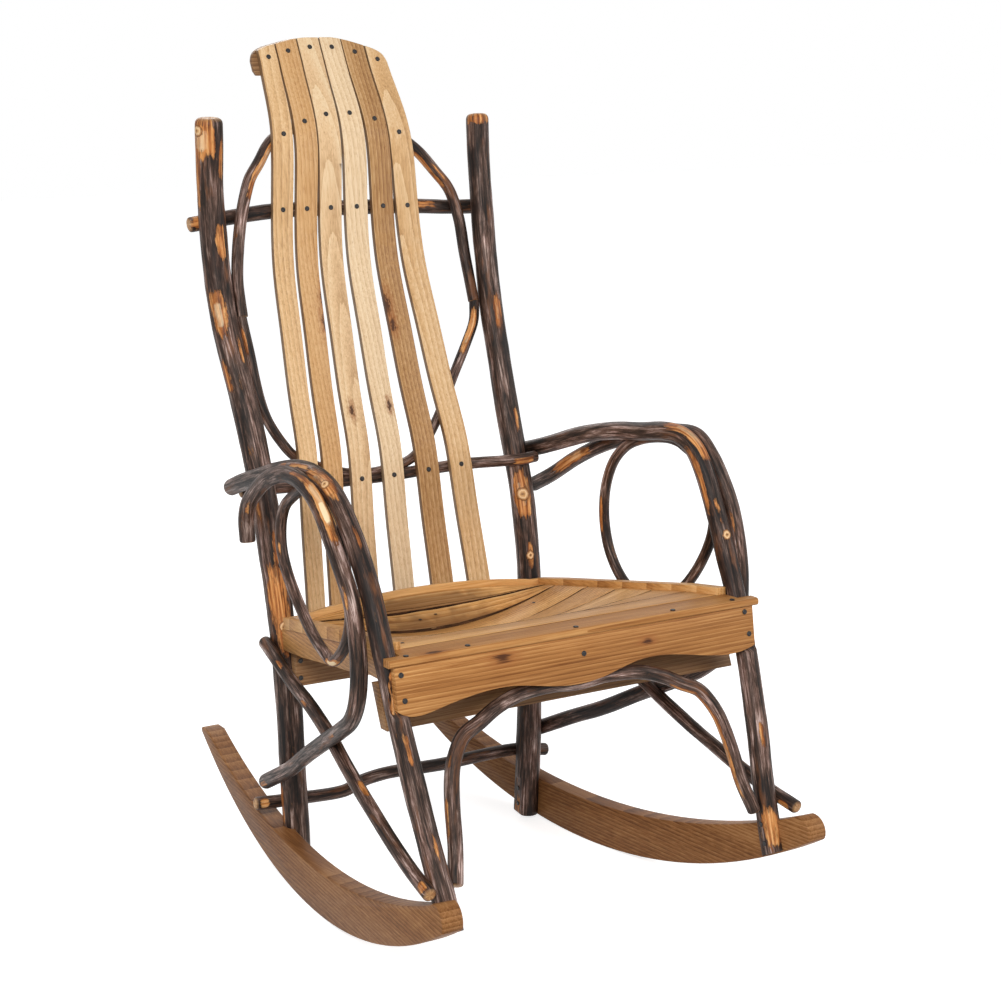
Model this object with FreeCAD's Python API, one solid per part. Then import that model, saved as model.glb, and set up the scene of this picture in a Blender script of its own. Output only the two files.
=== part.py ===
"""Rocking chair of bent bark-on hickory sticks with sawn slats, one named piece per file.

Millimetres, +Z up, -Y to the front, X across with 0 at the middle. The floor is Z 0 and
Y 0 is the middle of the rockers. Places along a side are shares of the rocker length and
of the back height; places across are shares of the half width there.
"""
import FreeCAD, Part
import math
import os

VEC = FreeCAD.Vector

# overall sizes
rocker_length = 876.0
back_height = 1143.0
arm_plane_half = 249.0
arm_plane_taper = 0.081
rocker_plane_half = 243.5
rocker_splay = 0.109
post_foot_half = 190.5
post_lean_out = 0.0268

# rockers
rocker_radius = 842.0
balance_setback = 8.5
rocker_thick = 29.0
rocker_depth = 61.0
rocker_front_rise = 157.0
rocker_rear_rise = 126.0
rocker_nose_slant = 23.0
rocker_nose_bulge = 5.0
rocker_nose_drop = 8.0
rocker_level_share = 0.9

# round sticks
post_dia = 37.0
post_top_dia = {-1: 38.0, 1: 33.0}
leg_foot_dia = 30.0
leg_arm_dia = 25.0
outer_arm_dia = 22.4
loop_dia = 15.0
brace_dia = 18.5
hoop_foot_dia = 20.0
hoop_right_dia = 18.0
upper_rail_dia = 21.5
lower_rail_dia = 17.0
upper_hoop_dia = 17.0
lower_hoop_dia = 14.5
stretcher_dia = 18.5
seat_cut = 2.0
foot_clearance = 2.0
post_round = 8.0
stick_round = 3.5
round_steps = 3
foot_flat_deep = 4.0
foot_flat_high = 56.0
loop_lane = 6.0
post_rings = 18
leg_rings = 24
arm_rings = 32
loop_rings = 36
brace_rings = 14
front_hoop_rings = 34
back_hoop_rings = 30
upper_rail_rings = 12
lower_rail_rings = 18
stretcher_rings = 12

# boards
slat_thick = 8.0
batten_thick = 6.0
batten_high = 38.0
seat_slat_thick = 8.0
seat_rail_thick = 18.0
seat_dish = 42.0
edge_strip_wide = 16.0
edge_strip_high = 9.0
strip_overhang = 3.0
nosing_thick = 10.0
nosing_round = 4.0
apron_thick = 20.0
inner_rail_thick = 16.0
board_thick = 18.0
board_screw_inset = 7.0
screw_head_dia = 7.0
screw_head_high = 1.4
screw_chamfer = 0.6

# side views, shares of rocker length and back height, from the foot upwards
leg_upright_points = 9
arm_first_point = 7
sweep_front_point = 12
sweep_bow = 0.25
leg_arm_shares = {
    -1: ((-0.465, 0.070), (-0.434, 0.129), (-0.417, 0.155), (-0.388, 0.202),
         (-0.360, 0.253), (-0.332, 0.315), (-0.305, 0.370), (-0.265, 0.428),
         (-0.210, 0.479), (-0.150, 0.515), (-0.110, 0.527), (-0.074, 0.531),
         (-0.036, 0.531), (0.014, 0.526), (0.070, 0.516), (0.136, 0.501),
         (0.209, 0.484), (0.267, 0.469)),
    1: ((-0.441, 0.070), (-0.429, 0.094), (-0.397, 0.165), (-0.371, 0.231),
        (-0.336, 0.305), (-0.304, 0.362), (-0.278, 0.413), (-0.258, 0.452),
        (-0.222, 0.510), (-0.198, 0.533), (-0.170, 0.543), (-0.133, 0.544),
        (-0.073, 0.537), (-0.004, 0.530), (0.065, 0.518), (0.130, 0.502),
        (0.181, 0.489), (0.223, 0.480), (0.262, 0.472)),
}
outer_arm_shares = {
    -1: ((0.137, 0.426), (0.141, 0.450), (0.131, 0.469), (0.100, 0.489),
         (0.050, 0.511), (-0.018, 0.527), (-0.075, 0.528), (-0.119, 0.519),
         (-0.154, 0.504), (-0.190, 0.478), (-0.225, 0.451), (-0.255, 0.423),
         (-0.273, 0.383), (-0.277, 0.345), (-0.264, 0.313), (-0.232, 0.284),
         (-0.173, 0.257), (-0.103, 0.229), (0.001, 0.186), (0.089, 0.147),
         (0.205, 0.103)),
    1: ((0.236, 0.430), (0.187, 0.449), (0.123, 0.478), (0.058, 0.502),
        (-0.042, 0.528), (-0.125, 0.541), (-0.176, 0.541), (-0.209, 0.521),
        (-0.231, 0.500), (-0.254, 0.470), (-0.272, 0.429), (-0.282, 0.381),
        (-0.277, 0.325), (-0.250, 0.288), (-0.213, 0.261), (-0.164, 0.239),
        (-0.083, 0.207), (0.000, 0.173), (0.069, 0.149), (0.145, 0.121),
        (0.190, 0.105)),
}
post_shares = {
    -1: ((0.147, -0.010), (0.150, 0.062), (0.154, 0.113), (0.158, 0.228), (0.176, 0.339),
         (0.194, 0.398), (0.212, 0.458), (0.237, 0.517), (0.273, 0.580), (0.301, 0.625),
         (0.326, 0.667), (0.342, 0.716), (0.351, 0.776), (0.353, 0.830), (0.346, 0.904)),
    1: ((0.146, -0.010), (0.143, 0.080), (0.143, 0.161), (0.147, 0.241), (0.156, 0.335),
        (0.180, 0.421), (0.203, 0.471), (0.235, 0.533), (0.263, 0.595), (0.296, 0.670),
        (0.316, 0.734), (0.332, 0.798), (0.343, 0.850), (0.350, 0.901)),
}
loop_start_shares = {-1: -0.085, 1: -0.205}
loop_end_shares = {-1: -0.172, 1: -0.252}
loop_shares = {
    -1: ((-0.051, 0.516), (-0.012, 0.501), (0.030, 0.480), (0.046, 0.455), (0.045, 0.430),
         (0.029, 0.408), (0.004, 0.388), (-0.030, 0.368), (-0.066, 0.350), (-0.105, 0.337),
         (-0.142, 0.331), (-0.174, 0.346), (-0.198, 0.368), (-0.208, 0.391), (-0.205, 0.415),
         (-0.194, 0.442), (-0.183, 0.468)),
    1: ((-0.180, 0.527), (-0.160, 0.533), (-0.136, 0.535), (-0.100, 0.532), (-0.065, 0.525),
        (-0.031, 0.513), (-0.004, 0.494), (0.013, 0.470), (0.022, 0.440), (0.020, 0.406),
        (0.005, 0.372), (-0.027, 0.343), (-0.072, 0.327), (-0.125, 0.331), (-0.175, 0.357),
        (-0.212, 0.391), (-0.236, 0.427)),
}
brace_shares = ((0.177, 0.288), (0.130, 0.278), (0.067, 0.263), (-0.015, 0.249),
                (-0.093, 0.230), (-0.149, 0.211), (-0.204, 0.194), (-0.258, 0.179),
                (-0.327, 0.161), (-0.393, 0.147), (-0.443, 0.139))
hoop_shares = ((0.913, 0.136), (0.885, 0.167), (0.863, 0.202), (0.842, 0.227),
               (0.818, 0.245), (0.775, 0.262), (0.722, 0.275), (0.622, 0.285),
               (0.505, 0.297), (0.375, 0.305), (0.180, 0.308), (0.000, 0.306))
hoop_plane_share = -0.481
hoop_lean = 0.375

# front face of the back, from the seat up to the curled tops
back_face_shares = ((0.1655, 0.3045), (0.172, 0.330), (0.201, 0.425), (0.226, 0.509),
                    (0.259, 0.568), (0.300, 0.652), (0.334, 0.724), (0.350, 0.808),
                    (0.356, 0.864), (0.364, 0.893), (0.387, 0.930), (0.412, 0.9615),
                    (0.429, 0.986), (0.442, 1.005))
# slat middles and widths as shares of the back half, at the foot, the bend and the crest
back_half = 205.0
slat_station_shares = (0.3045, 0.864, 0.975)
slat_over_share = 1.0155
slat_middle_shares = ((-0.711, -0.488, -0.439), (-0.530, -0.302, -0.276),
                      (-0.293, -0.122, -0.099), (-0.012, 0.073, 0.076),
                      (0.303, 0.270, 0.250), (0.609, 0.454, 0.420))
slat_width_shares = ((0.128, 0.157, 0.136), (0.138, 0.166, 0.168), (0.148, 0.176, 0.168),
                     (0.151, 0.178, 0.164), (0.171, 0.170, 0.168), (0.175, 0.180, 0.147))
crest_shares = ((-0.562, 0.962), (-0.556, 0.975), (-0.529, 0.985), (-0.473, 0.9915),
                (-0.357, 0.997), (-0.239, 1.002), (-0.100, 1.005), (0.043, 1.0055),
                (0.158, 1.003), (0.330, 0.995), (0.425, 0.989), (0.468, 0.9836),
                (0.492, 0.975), (0.505, 0.960))
batten_shares = (-0.556, 0.490)

# cross sticks: share of the post half width, share of length or None against the slats, height
upper_rail_shares = ((-1.11, 0.374, 0.782), (-0.82, 0.371, 0.789), (-0.53, None, 0.794),
                     (0.00, None, 0.794), (0.53, None, 0.792), (0.80, 0.364, 0.789),
                     (1.09, 0.357, 0.788))
lower_rail_shares = ((-1.09, 0.246, 0.465), (-0.96, 0.243, 0.466), (-0.72, 0.235, 0.466),
                     (-0.40, None, 0.466), (0.00, None, 0.466), (0.40, None, 0.468),
                     (0.64, 0.226, 0.470), (0.85, 0.197, 0.473), (1.00, 0.181, 0.475),
                     (1.09, 0.178, 0.477))
upper_hoop_shares = ((-0.866, 0.338, 0.714), (-0.841, 0.344, 0.750), (-0.806, 0.346, 0.787),
                     (-0.771, 0.349, 0.810), (-0.713, 0.356, 0.835), (-0.632, 0.364, 0.853),
                     (-0.501, None, 0.880), (-0.326, None, 0.895), (-0.147, None, 0.904),
                     (0.041, None, 0.906), (0.216, None, 0.901), (0.382, None, 0.888),
                     (0.549, 0.370, 0.866), (0.690, 0.357, 0.835), (0.780, 0.349, 0.812),
                     (0.850, 0.344, 0.775), (0.872, 0.333, 0.732))
lower_hoop_shares = ((-0.880, 0.300, 0.632), (-0.880, 0.283, 0.596), (-0.876, 0.271, 0.573),
                     (-0.850, 0.260, 0.5485), (-0.7845, 0.250, 0.524), (-0.690, 0.242, 0.502),
                     (-0.516, None, 0.4865), (-0.307, None, 0.475), (-0.080, None, 0.4725),
                     (0.180, None, 0.4815), (0.290, None, 0.494), (0.402, None, 0.515),
                     (0.540, None, 0.545), (0.663, 0.280, 0.578), (0.800, 0.293, 0.618),
                     (0.875, 0.300, 0.645))
hoop_meeting_share = 0.671
stretcher_shares = ((-1.24, 0.084), (-0.95, 0.081), (-0.52, 0.079), (-0.41, 0.086),
                    (-0.19, 0.091), (0.28, 0.0885), (0.96, 0.0895), (1.23, 0.0815))

# seat, front to back
apron_face_share = -0.339
apron_top_share = 0.3615
apron_half_share = 0.998
apron_lean = 0.15
apron_wave_shares = ((-1.00, 0.3150), (-0.975, 0.3110), (-0.77, 0.312), (-0.59, 0.319),
                     (-0.41, 0.3205), (-0.155, 0.311), (0.10, 0.312), (0.30, 0.323),
                     (0.594, 0.319), (0.89, 0.311), (1.00, 0.3165))
nosing_front_share = -0.3425
seat_edge_shares = (-0.2962, -0.233, -0.162, -0.082, -0.007, 0.071, 0.1005, 0.121)
seat_rear_share = 0.1335
rail_top_shares = ((-0.2962, 0.364), (-0.233, 0.3583), (-0.162, 0.3491), (-0.082, 0.3388),
                       (-0.007, 0.3293), (0.071, 0.3195), (0.1335, 0.3106))
rail_under_shares = ((-0.316, 0.334), (-0.277, 0.330), (-0.218, 0.327), (-0.134, 0.314),
                     (-0.073, 0.307), (-0.010, 0.299), (0.063, 0.290), (0.160, 0.281))
rail_front_half = 258.0
rail_taper = 0.122
slat_dish_shares = ((0.00, 0.06), (0.09, 0.38), (0.42, 0.76), (0.80, 0.98), (1.00, 0.88),
                    (0.82, 0.20), (0.14, -0.36))
bow_parts = 3
inner_rail_front_share = -0.277
inner_rail_share = (0.283, 0.330)
inner_rail_lean = 0.42
inner_rail_overhang = 12.0
rear_board_share = (0.238, 0.281)

# screws
batten_screw_share = 0.36
board_screw_shares = (0.25, 0.75)
foot_screw_shares = (0.25, 0.68)
foot_rise_shares = (0.010, 0.085)
nosing_screw_shares = (-0.927, -0.608, -0.020, 0.538, 0.895)
nosing_screw_place_share = -0.331
apron_screw_shares = ((-0.971, 0.353), (-0.962, 0.3255), (0.00, 0.3415), (0.950, 0.356),
                      (0.968, 0.330))


def at_length(share):
    return share * rocker_length


def at_height(share):
    return share * back_height


def interpolate(pairs, value):
    """Read a list of (key, result) pairs at a value, straight between neighbours."""
    ordered = sorted(pairs)
    if value <= ordered[0][0]:
        return ordered[0][1]
    for (low, first), (high, second) in zip(ordered, ordered[1:]):
        if value <= high:
            return first + (second - first) * (value - low) / (high - low)
    return ordered[-1][1]


def rocker_outer(y):
    return rocker_plane_half - rocker_splay * y


def post_half(z):
    return post_foot_half + post_lean_out * z


def post_setback(side, z):
    heights = [(at_height(rise), at_length(along)) for along, rise in post_shares[side]]
    return interpolate(heights, z)


def seat_level():
    return at_height(apron_top_share)


def leg_half(y, z):
    """Half width of the leg and arm stick: arm plane above the seat, rocker's inner face below."""
    upper = arm_plane_half - arm_plane_taper * y
    if z >= seat_level():
        return upper
    foot = rocker_outer(y) - rocker_thick - seat_cut * 3
    drop = min(1.0, (seat_level() - z) / (seat_level() - at_height(leg_arm_shares[1][0][1])))
    return upper * (1.0 - drop) + foot * drop


def leg_upright_shares(side):
    return leg_arm_shares[side][:leg_upright_points]


def leg_setback(side, z):
    heights = [(at_height(rise), at_length(along)) for along, rise in leg_upright_shares(side)]
    return interpolate(heights, z)


def arm_level(side, y):
    arm = leg_arm_shares[side][arm_first_point:]
    return interpolate([(at_length(along), at_height(rise)) for along, rise in arm], y)


def outer_lane():
    return (leg_arm_dia + outer_arm_dia) / 2 - seat_cut / 4


def outer_half(y, z):
    """Half width of the outer arm: beside the inner arm above, sweeping in to the post below."""
    beside = arm_plane_half - arm_plane_taper * y + outer_lane()
    if z >= seat_level():
        return beside
    post_side = post_half(at_height(post_shares[1][1][1])) + (post_dia + outer_arm_dia) / 2
    front = at_length(outer_arm_shares[1][sweep_front_point][0])
    run = (post_setback(1, z) - y) / (post_setback(1, z) - front)
    bowed = run + sweep_bow * run * (1.0 - run)
    sweep = post_side - seat_cut + (beside - post_side) * bowed
    drop = min(1.0, (seat_level() - z) / (post_dia * 2))
    return beside * (1.0 - drop) + sweep * drop


def brace_half(y):
    rear = (post_setback(1, at_height(brace_shares[0][1])),
            post_half(at_height(brace_shares[0][1])) + (post_dia + brace_dia) / 2 - seat_cut)
    front_y = at_length(brace_shares[-1][0])
    front_z = at_height(brace_shares[-1][1])
    front = (front_y, leg_half(front_y, front_z) + (leg_foot_dia + brace_dia) / 2 - seat_cut)
    slope = (rear[1] - front[1]) / (rear[0] - front[0])
    return front[1] + slope * (y - front[0])


def rail_outer(y):
    front = at_length(apron_face_share) + apron_thick
    return rail_front_half - rail_taper * (y - front)


def back_face_points():
    return [VEC(0, at_length(along), at_height(rise)) for along, rise in back_face_shares]


def back_face(z):
    return interpolate([(point.z, point.y) for point in back_face_points()], z)


def behind_slats(z, dia):
    """Middle of a round stick that lies against the back of the slats."""
    step = rocker_thick
    slope = (back_face(z + step) - back_face(z - step)) / (2 * step)
    reach = slat_thick + dia / 2 - seat_cut / 2
    return back_face(z) + reach * math.sqrt(1 + slope * slope)


def smooth(points):
    curve = Part.BSplineCurve()
    curve.interpolate(points)
    return curve


def ring(place, along, dia, across=None):
    circle = Part.Circle(place, along, dia / 2)
    if across is not None:
        circle.XAxis = across
    return Part.Wire([circle.toShape()])


def round_end(place, along, dia, radius):
    """Rounded end of a stick, as rings that shrink beyond its last one."""
    rings = []
    for step in range(round_steps + 1):
        turn = math.pi / 2 * step / round_steps
        rings.append(ring(place + along * (radius * math.sin(turn)), along,
                          dia - 2 * radius * (1 - math.cos(turn))))
    return Part.makeLoft(rings, True, True)


def stick(points, start_dia, end_dia, rings=16, start_round=0, end_round=0):
    """Solid through circles set square to a smooth curve, with rounded ends where asked."""
    curve = smooth(points)
    places = curve.discretize(rings)
    tangents = [curve.tangent(curve.parameter(place))[0] for place in places]
    first = tangents[0]
    across = VEC(0, 0, 1) if abs(first.z) < abs(first.x) else VEC(1, 0, 0)
    wires = []
    for index, (place, along) in enumerate(zip(places, tangents)):
        across = (across - along * across.dot(along)).normalize()
        dia = start_dia + (end_dia - start_dia) * index / (len(places) - 1)
        wires.append(ring(place, along, dia, across))
    solid = Part.makeLoft(wires, True, False)
    if start_round:
        solid = solid.fuse(round_end(places[0], -first, start_dia, start_round))
    if end_round:
        solid = solid.fuse(round_end(places[-1], tangents[-1], end_dia, end_round))
    return solid


def prism(outline, direction):
    """Solid from a closed outline pushed along a direction."""
    face = Part.Face(Part.makePolygon(outline + [outline[0]]))
    return face.extrude(direction)


def box_between(low, high):
    span = high - low
    return Part.makeBox(span.x, span.y, span.z, low)


def side_profile(pairs, half):
    """Push a side outline of (y, z) places across the whole chair."""
    return prism([VEC(-half, y, z) for y, z in pairs], VEC(2 * half, 0, 0))


def plan(pairs):
    """Push a plan outline of (x, y) places through the whole height."""
    return prism([VEC(x, y, 0) for x, y in pairs], VEC(0, 0, 2 * back_height))


def beam(side, profile, outer_front, outer_rear, inset, y_front, y_rear):
    """Side outline kept only between two slanting faces on one side of the chair."""
    strip = plan([(side * outer_front, y_front), (side * outer_rear, y_rear),
                  (side * (outer_rear - inset), y_rear),
                  (side * (outer_front - inset), y_front)])
    return side_profile(profile, rocker_length / 2).common(strip)


def rocker(side):
    half = rocker_length / 2
    centre = VEC(-half, balance_setback, rocker_radius)
    reach = VEC(rocker_length, 0, 0)
    wheel = Part.makeCylinder(rocker_radius, rocker_length, centre, VEC(1, 0, 0))

    def under(y):
        return rocker_radius - math.sqrt(rocker_radius ** 2 - (y - balance_setback) ** 2)

    front_top = VEC(-half, -half + rocker_nose_slant, rocker_front_rise)
    rear_top = VEC(-half, half - rocker_thick, rocker_rear_rise)
    low_top = VEC(-half, balance_setback, rocker_depth)
    front_nose = VEC(-half, -half, under(-half) + seat_cut * 2)
    rear_nose = VEC(-half, half, rocker_rear_rise - seat_cut)
    rear_tip = VEC(-half, half, under(half) + seat_cut * 2)
    level_front = VEC(-half, -half * rocker_level_share, 0)
    level_rear = VEC(-half, half * rocker_level_share, 0)
    bulge = VEC(-half, -half + rocker_nose_bulge, rocker_front_rise - rocker_nose_drop)
    edges = [Part.Arc(front_top, low_top, rear_top).toShape(),
             Part.makeLine(rear_top, rear_nose),
             Part.makeLine(rear_nose, rear_tip),
             Part.makeLine(rear_tip, level_rear),
             Part.makeLine(level_rear, level_front),
             Part.makeLine(level_front, front_nose),
             Part.Arc(front_nose, bulge, front_top).toShape()]
    slab = Part.Face(Part.Wire(edges)).extrude(reach)
    plank = plan([(side * rocker_outer(-half), -half), (side * rocker_outer(half), half),
                  (side * (rocker_outer(half) - rocker_thick), half),
                  (side * (rocker_outer(-half) - rocker_thick), -half)])
    return slab.common(wheel).common(plank)


def rolling_space():
    """The round space above the rockers' rolling line, a little inside it."""
    start = VEC(-rocker_length, balance_setback, rocker_radius)
    return Part.makeCylinder(rocker_radius - foot_clearance, rocker_length * 2, start,
                             VEC(1, 0, 0))


def side_points(side, shares, half_at):
    points = []
    for along, rise in shares:
        y, z = at_length(along), at_height(rise)
        points.append(VEC(side * half_at(y, z), y, z))
    return points


def rear_post(side):
    points = side_points(side, post_shares[side], lambda y, z: post_half(z))
    post = stick(points, post_dia, post_top_dia[side], post_rings, end_round=post_round)
    return post.common(rolling_space())


def foot_flat(inner, low):
    """Room on the inner side of a foot where it is planed flat for its screws."""
    return box_between(VEC(-inner - foot_flat_deep, -rocker_length, 0),
                       VEC(inner + foot_flat_deep, rocker_length, low + foot_flat_high))


def foot_places():
    """Inner face, level of the foot and screw line of the posts and of the legs."""
    post_z = at_height(foot_rise_shares[0])
    leg_z = at_height(foot_rise_shares[1])
    leg_y = leg_setback(1, leg_z)
    return ((post_half(post_z) - post_dia / 2, post_z, lambda side, z: post_setback(side, z)),
            (leg_half(leg_y, leg_z) - leg_foot_dia / 2, leg_z,
             lambda side, z: leg_setback(side, z)))


def leg_arm(side):
    points = side_points(side, leg_arm_shares[side], leg_half)
    return stick(points, leg_foot_dia, leg_arm_dia - seat_cut / 2, leg_rings,
                 end_round=stick_round)


def outer_arm(side):
    points = side_points(side, outer_arm_shares[side], outer_half)
    return stick(points, outer_arm_dia, outer_arm_dia, arm_rings, stick_round, stick_round)


def arm_facet(side, outward):
    """Block on one side of the flat where the inner and the outer arm meet."""
    front, rear = -rocker_length / 2, rocker_length / 2
    meet = leg_arm_dia / 2 - seat_cut / 2
    reach = outer_arm_dia * 3 if outward else -outer_arm_dia * 3
    corners = []
    for y in (front, rear):
        corners.append((side * (arm_plane_half - arm_plane_taper * y + meet), y))
    for y in (rear, front):
        corners.append((side * (arm_plane_half - arm_plane_taper * y + meet + reach), y))
    low = seat_level() + nosing_thick
    block = plan(corners)
    return block.cut(box_between(VEC(-rocker_length, -rocker_length, -back_height),
                                 VEC(rocker_length, rocker_length, low)))


def arm_loop(side):
    """Loop below an arm; both its ends run into the middle of the arm."""
    ends = [at_length(shares[side]) for shares in (loop_start_shares, loop_end_shares)]
    first, last = [VEC(side * (arm_plane_half - arm_plane_taper * y), y, arm_level(side, y))
                   for y in ends]
    middle = side_points(side, loop_shares[side],
                         lambda y, z: arm_plane_half - arm_plane_taper * y + loop_lane)
    return stick([first] + middle + [last], loop_dia, loop_dia, loop_rings)


def side_brace(side):
    points = side_points(side, brace_shares, lambda y, z: brace_half(y))
    return stick(points, brace_dia, brace_dia, brace_rings, stick_round, stick_round)


def front_hoop():
    """Bent stick in a leaning plane, its feet set against the legs."""
    runs = []
    for side in (-1, 1):
        run = []
        for across, rise in hoop_shares:
            z = at_height(rise)
            y = at_length(hoop_plane_share) + hoop_lean * z
            x = across * arm_plane_half
            if not run:
                y = (y + leg_setback(side, z)) / 2
                x = leg_half(y, z) - (leg_foot_dia + hoop_foot_dia) / 2 + seat_cut
            run.append(VEC(side * x, y, z))
        runs.append(run)
    return stick(runs[0][:-1] + runs[1][::-1], hoop_foot_dia, hoop_right_dia, front_hoop_rings,
                 stick_round, stick_round)


def cross_points(shares, dia):
    points = []
    for across, along, rise in shares:
        z = at_height(rise)
        y = behind_slats(z, dia) if along is None else at_length(along)
        points.append(VEC(across * post_half(z), y, z))
    return points


def hoop_end(side, dia, rise):
    z = at_height(rise)
    x = post_half(z) - (post_dia + dia) / 2 + seat_cut
    middle = (post_setback(-1, z) + post_setback(1, z)) / 2
    y = (post_setback(side, z) + middle) / 2
    return VEC(side * x, y, z)


def back_hoop(shares, dia, past):
    """Hoop between the posts; past is how far its ends run beyond the meeting level."""
    rise = hoop_meeting_share + past
    points = [hoop_end(-1, dia, rise)] + cross_points(shares, dia) + [hoop_end(1, dia, rise)]
    return stick(points, dia, dia, back_hoop_rings)


def below_meeting():
    level = at_height(hoop_meeting_share)
    return box_between(VEC(-rocker_length, -rocker_length, 0), VEC(rocker_length, rocker_length,
                                                                  level))


def cross_rail(shares, dia, rings):
    return stick(cross_points(shares, dia), dia, dia, rings, stick_round, stick_round)


def rear_stretcher():
    points = []
    for across, rise in stretcher_shares:
        z = at_height(rise)
        side_mix = (across + 1.0) / 2
        setback = post_setback(-1, z) * (1 - side_mix) + post_setback(1, z) * side_mix
        y = setback + (post_dia + stretcher_dia) / 2 - seat_cut * 2
        points.append(VEC(across * post_half(z), y, z))
    return stick(points, stretcher_dia, stretcher_dia, stretcher_rings, stick_round,
                 stick_round)


def offset_face(depth):
    """Points of the back face moved backwards by a depth, square to the face."""
    front = back_face_points()
    moved = []
    for index, point in enumerate(front):
        before = front[max(0, index - 1)]
        after = front[min(len(front) - 1, index + 1)]
        run = (after - before).normalize()
        moved.append(point + VEC(0, run.z, -run.y) * depth)
    return moved


def back_sheet(near, far):
    """Curved sheet between two depths behind the front face of the slats."""
    start = VEC(-back_half, 0, 0)
    front = smooth([point + start for point in offset_face(near)]).toShape()
    rear = smooth([point + start for point in offset_face(far)]).toShape()
    ends = [(front.Vertexes[0].Point, rear.Vertexes[0].Point),
            (front.Vertexes[-1].Point, rear.Vertexes[-1].Point)]
    caps = [Part.makeLine(first, second) for first, second in ends]
    face = Part.Face(Part.Wire(Part.__sortEdges__([front, rear] + caps)))
    return face.extrude(VEC(2 * back_half, 0, 0))


def front_view(pairs):
    """Push a front outline of (x, z) places through the whole depth."""
    return prism([VEC(x, -rocker_length, z) for x, z in pairs], VEC(0, 2 * rocker_length, 0))


def crest_outline():
    tops = [VEC(x * back_half, -rocker_length, at_height(z)) for x, z in crest_shares]
    arch = smooth(tops).toShape()
    low = [VEC(tops[-1].x + back_half, -rocker_length, tops[-1].z),
           VEC(tops[-1].x + back_half, -rocker_length, 0),
           VEC(tops[0].x - back_half, -rocker_length, 0),
           VEC(tops[0].x - back_half, -rocker_length, tops[0].z)]
    lines = [Part.makeLine(tops[-1], low[0])]
    lines += [Part.makeLine(first, second) for first, second in zip(low, low[1:])]
    lines.append(Part.makeLine(low[-1], tops[0]))
    face = Part.Face(Part.Wire([arch] + lines))
    return face.extrude(VEC(0, 2 * rocker_length, 0))


def slat_places(index, rise):
    """Middle and half width of a back slat at a height share."""
    middle = interpolate(list(zip(slat_station_shares, slat_middle_shares[index])), rise)
    width = interpolate(list(zip(slat_station_shares, slat_width_shares[index])), rise)
    return back_half * middle, back_half * width / 2


def slat_outline(first, last):
    """Front outline from the left edge of one slat to the right edge of another."""
    left, right = [], []
    for rise in slat_station_shares + (slat_over_share,):
        middle, half = slat_places(first, rise)
        left.append((middle - half, at_height(rise)))
        middle, half = slat_places(last, rise)
        right.append((middle + half, at_height(rise)))
    return left + right[::-1]


def back_slat(index, sheet):
    return sheet.common(front_view(slat_outline(index, index)))


def slatted_zone(sheet):
    """The part of the sheet between the outer edges of the first and the last slat."""
    return sheet.common(front_view(slat_outline(0, len(slat_middle_shares) - 1)))


def crest_level(x):
    """Height of the arched top of the back at a place across."""
    return interpolate([(share * back_half, at_height(rise)) for share, rise in crest_shares], x)


def crest_batten():
    """Strip behind the slats that follows the crest and shows past the first slat."""
    left, right = (share * back_half for share in batten_shares)
    inside = [share * back_half for share, rise in crest_shares
              if left + batten_thick < share * back_half < right]
    low = [(x, crest_level(x) - batten_high) for x in inside + [right]]
    corner = [(left, low[0][1] + batten_thick), (left + batten_thick / 2, low[0][1])]
    top = at_height(crest_shares[0][1]) + batten_high * 2
    sheet = back_sheet(slat_thick, slat_thick + batten_thick)
    strip = sheet.common(front_view(corner + low + [(right, top), (left, top)]))
    return strip.common(crest_outline())


def apron_face(z):
    """Setback of the apron's leaning front face."""
    return at_length(apron_face_share) - apron_lean * (seat_level() - z)


def apron_half():
    return apron_half_share * leg_half(at_length(apron_face_share), seat_level())


def front_apron():
    half, top = apron_half(), seat_level()
    wave = [VEC(x * half, apron_face(at_height(z)), at_height(z)) for x, z in apron_wave_shares]
    corners = [VEC(half, apron_face(top), top), VEC(-half, apron_face(top), top)]
    edges = [smooth(wave).toShape(), Part.makeLine(wave[-1], corners[0]),
             Part.makeLine(corners[0], corners[1]), Part.makeLine(corners[1], wave[0])]
    return Part.Face(Part.Wire(edges)).extrude(VEC(0, apron_thick, 0))


def leg_flat():
    """Room in front of the legs where they are cut back for the apron."""
    low = at_height(min(rise for across, rise in apron_wave_shares))
    top = seat_level()
    profile = [(apron_face(low) + apron_thick / 2, low), (apron_face(top) + apron_thick / 2, top),
               (-rocker_length, top), (-rocker_length, low)]
    return side_profile(profile, rocker_length)


def seat_nosing():
    front, rear = at_length(nosing_front_share), at_length(seat_edge_shares[0])
    shoulder = leg_setback(-1, seat_level()) - leg_foot_dia / 2 + seat_cut
    wide = apron_half() + seat_cut * 4
    outline = [(-wide, front), (wide, front), (wide, shoulder),
               (nosing_inner(shoulder), shoulder), (nosing_inner(rear), rear),
               (-nosing_inner(rear), rear), (-nosing_inner(shoulder), shoulder),
               (-wide, shoulder)]
    board = prism([VEC(x, y, seat_level()) for x, y in outline], VEC(0, 0, nosing_thick))
    edges = [edge for edge in board.Edges
             if abs(edge.CenterOfMass.y - front) < seat_cut / 2 and edge.Length > wide]
    return board.makeFillet(nosing_round, edges)


def nosing_inner(y):
    return leg_half(y, seat_level() + nosing_thick) - leg_arm_dia / 2 - seat_cut


def rail_top_points():
    front = apron_face(at_height(rail_under_shares[0][1])) + apron_thick
    places = [(at_length(y), at_height(z)) for y, z in rail_top_shares]
    return [(front, seat_level())] + places


def rail_top(y):
    return interpolate(rail_top_points(), y)


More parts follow.
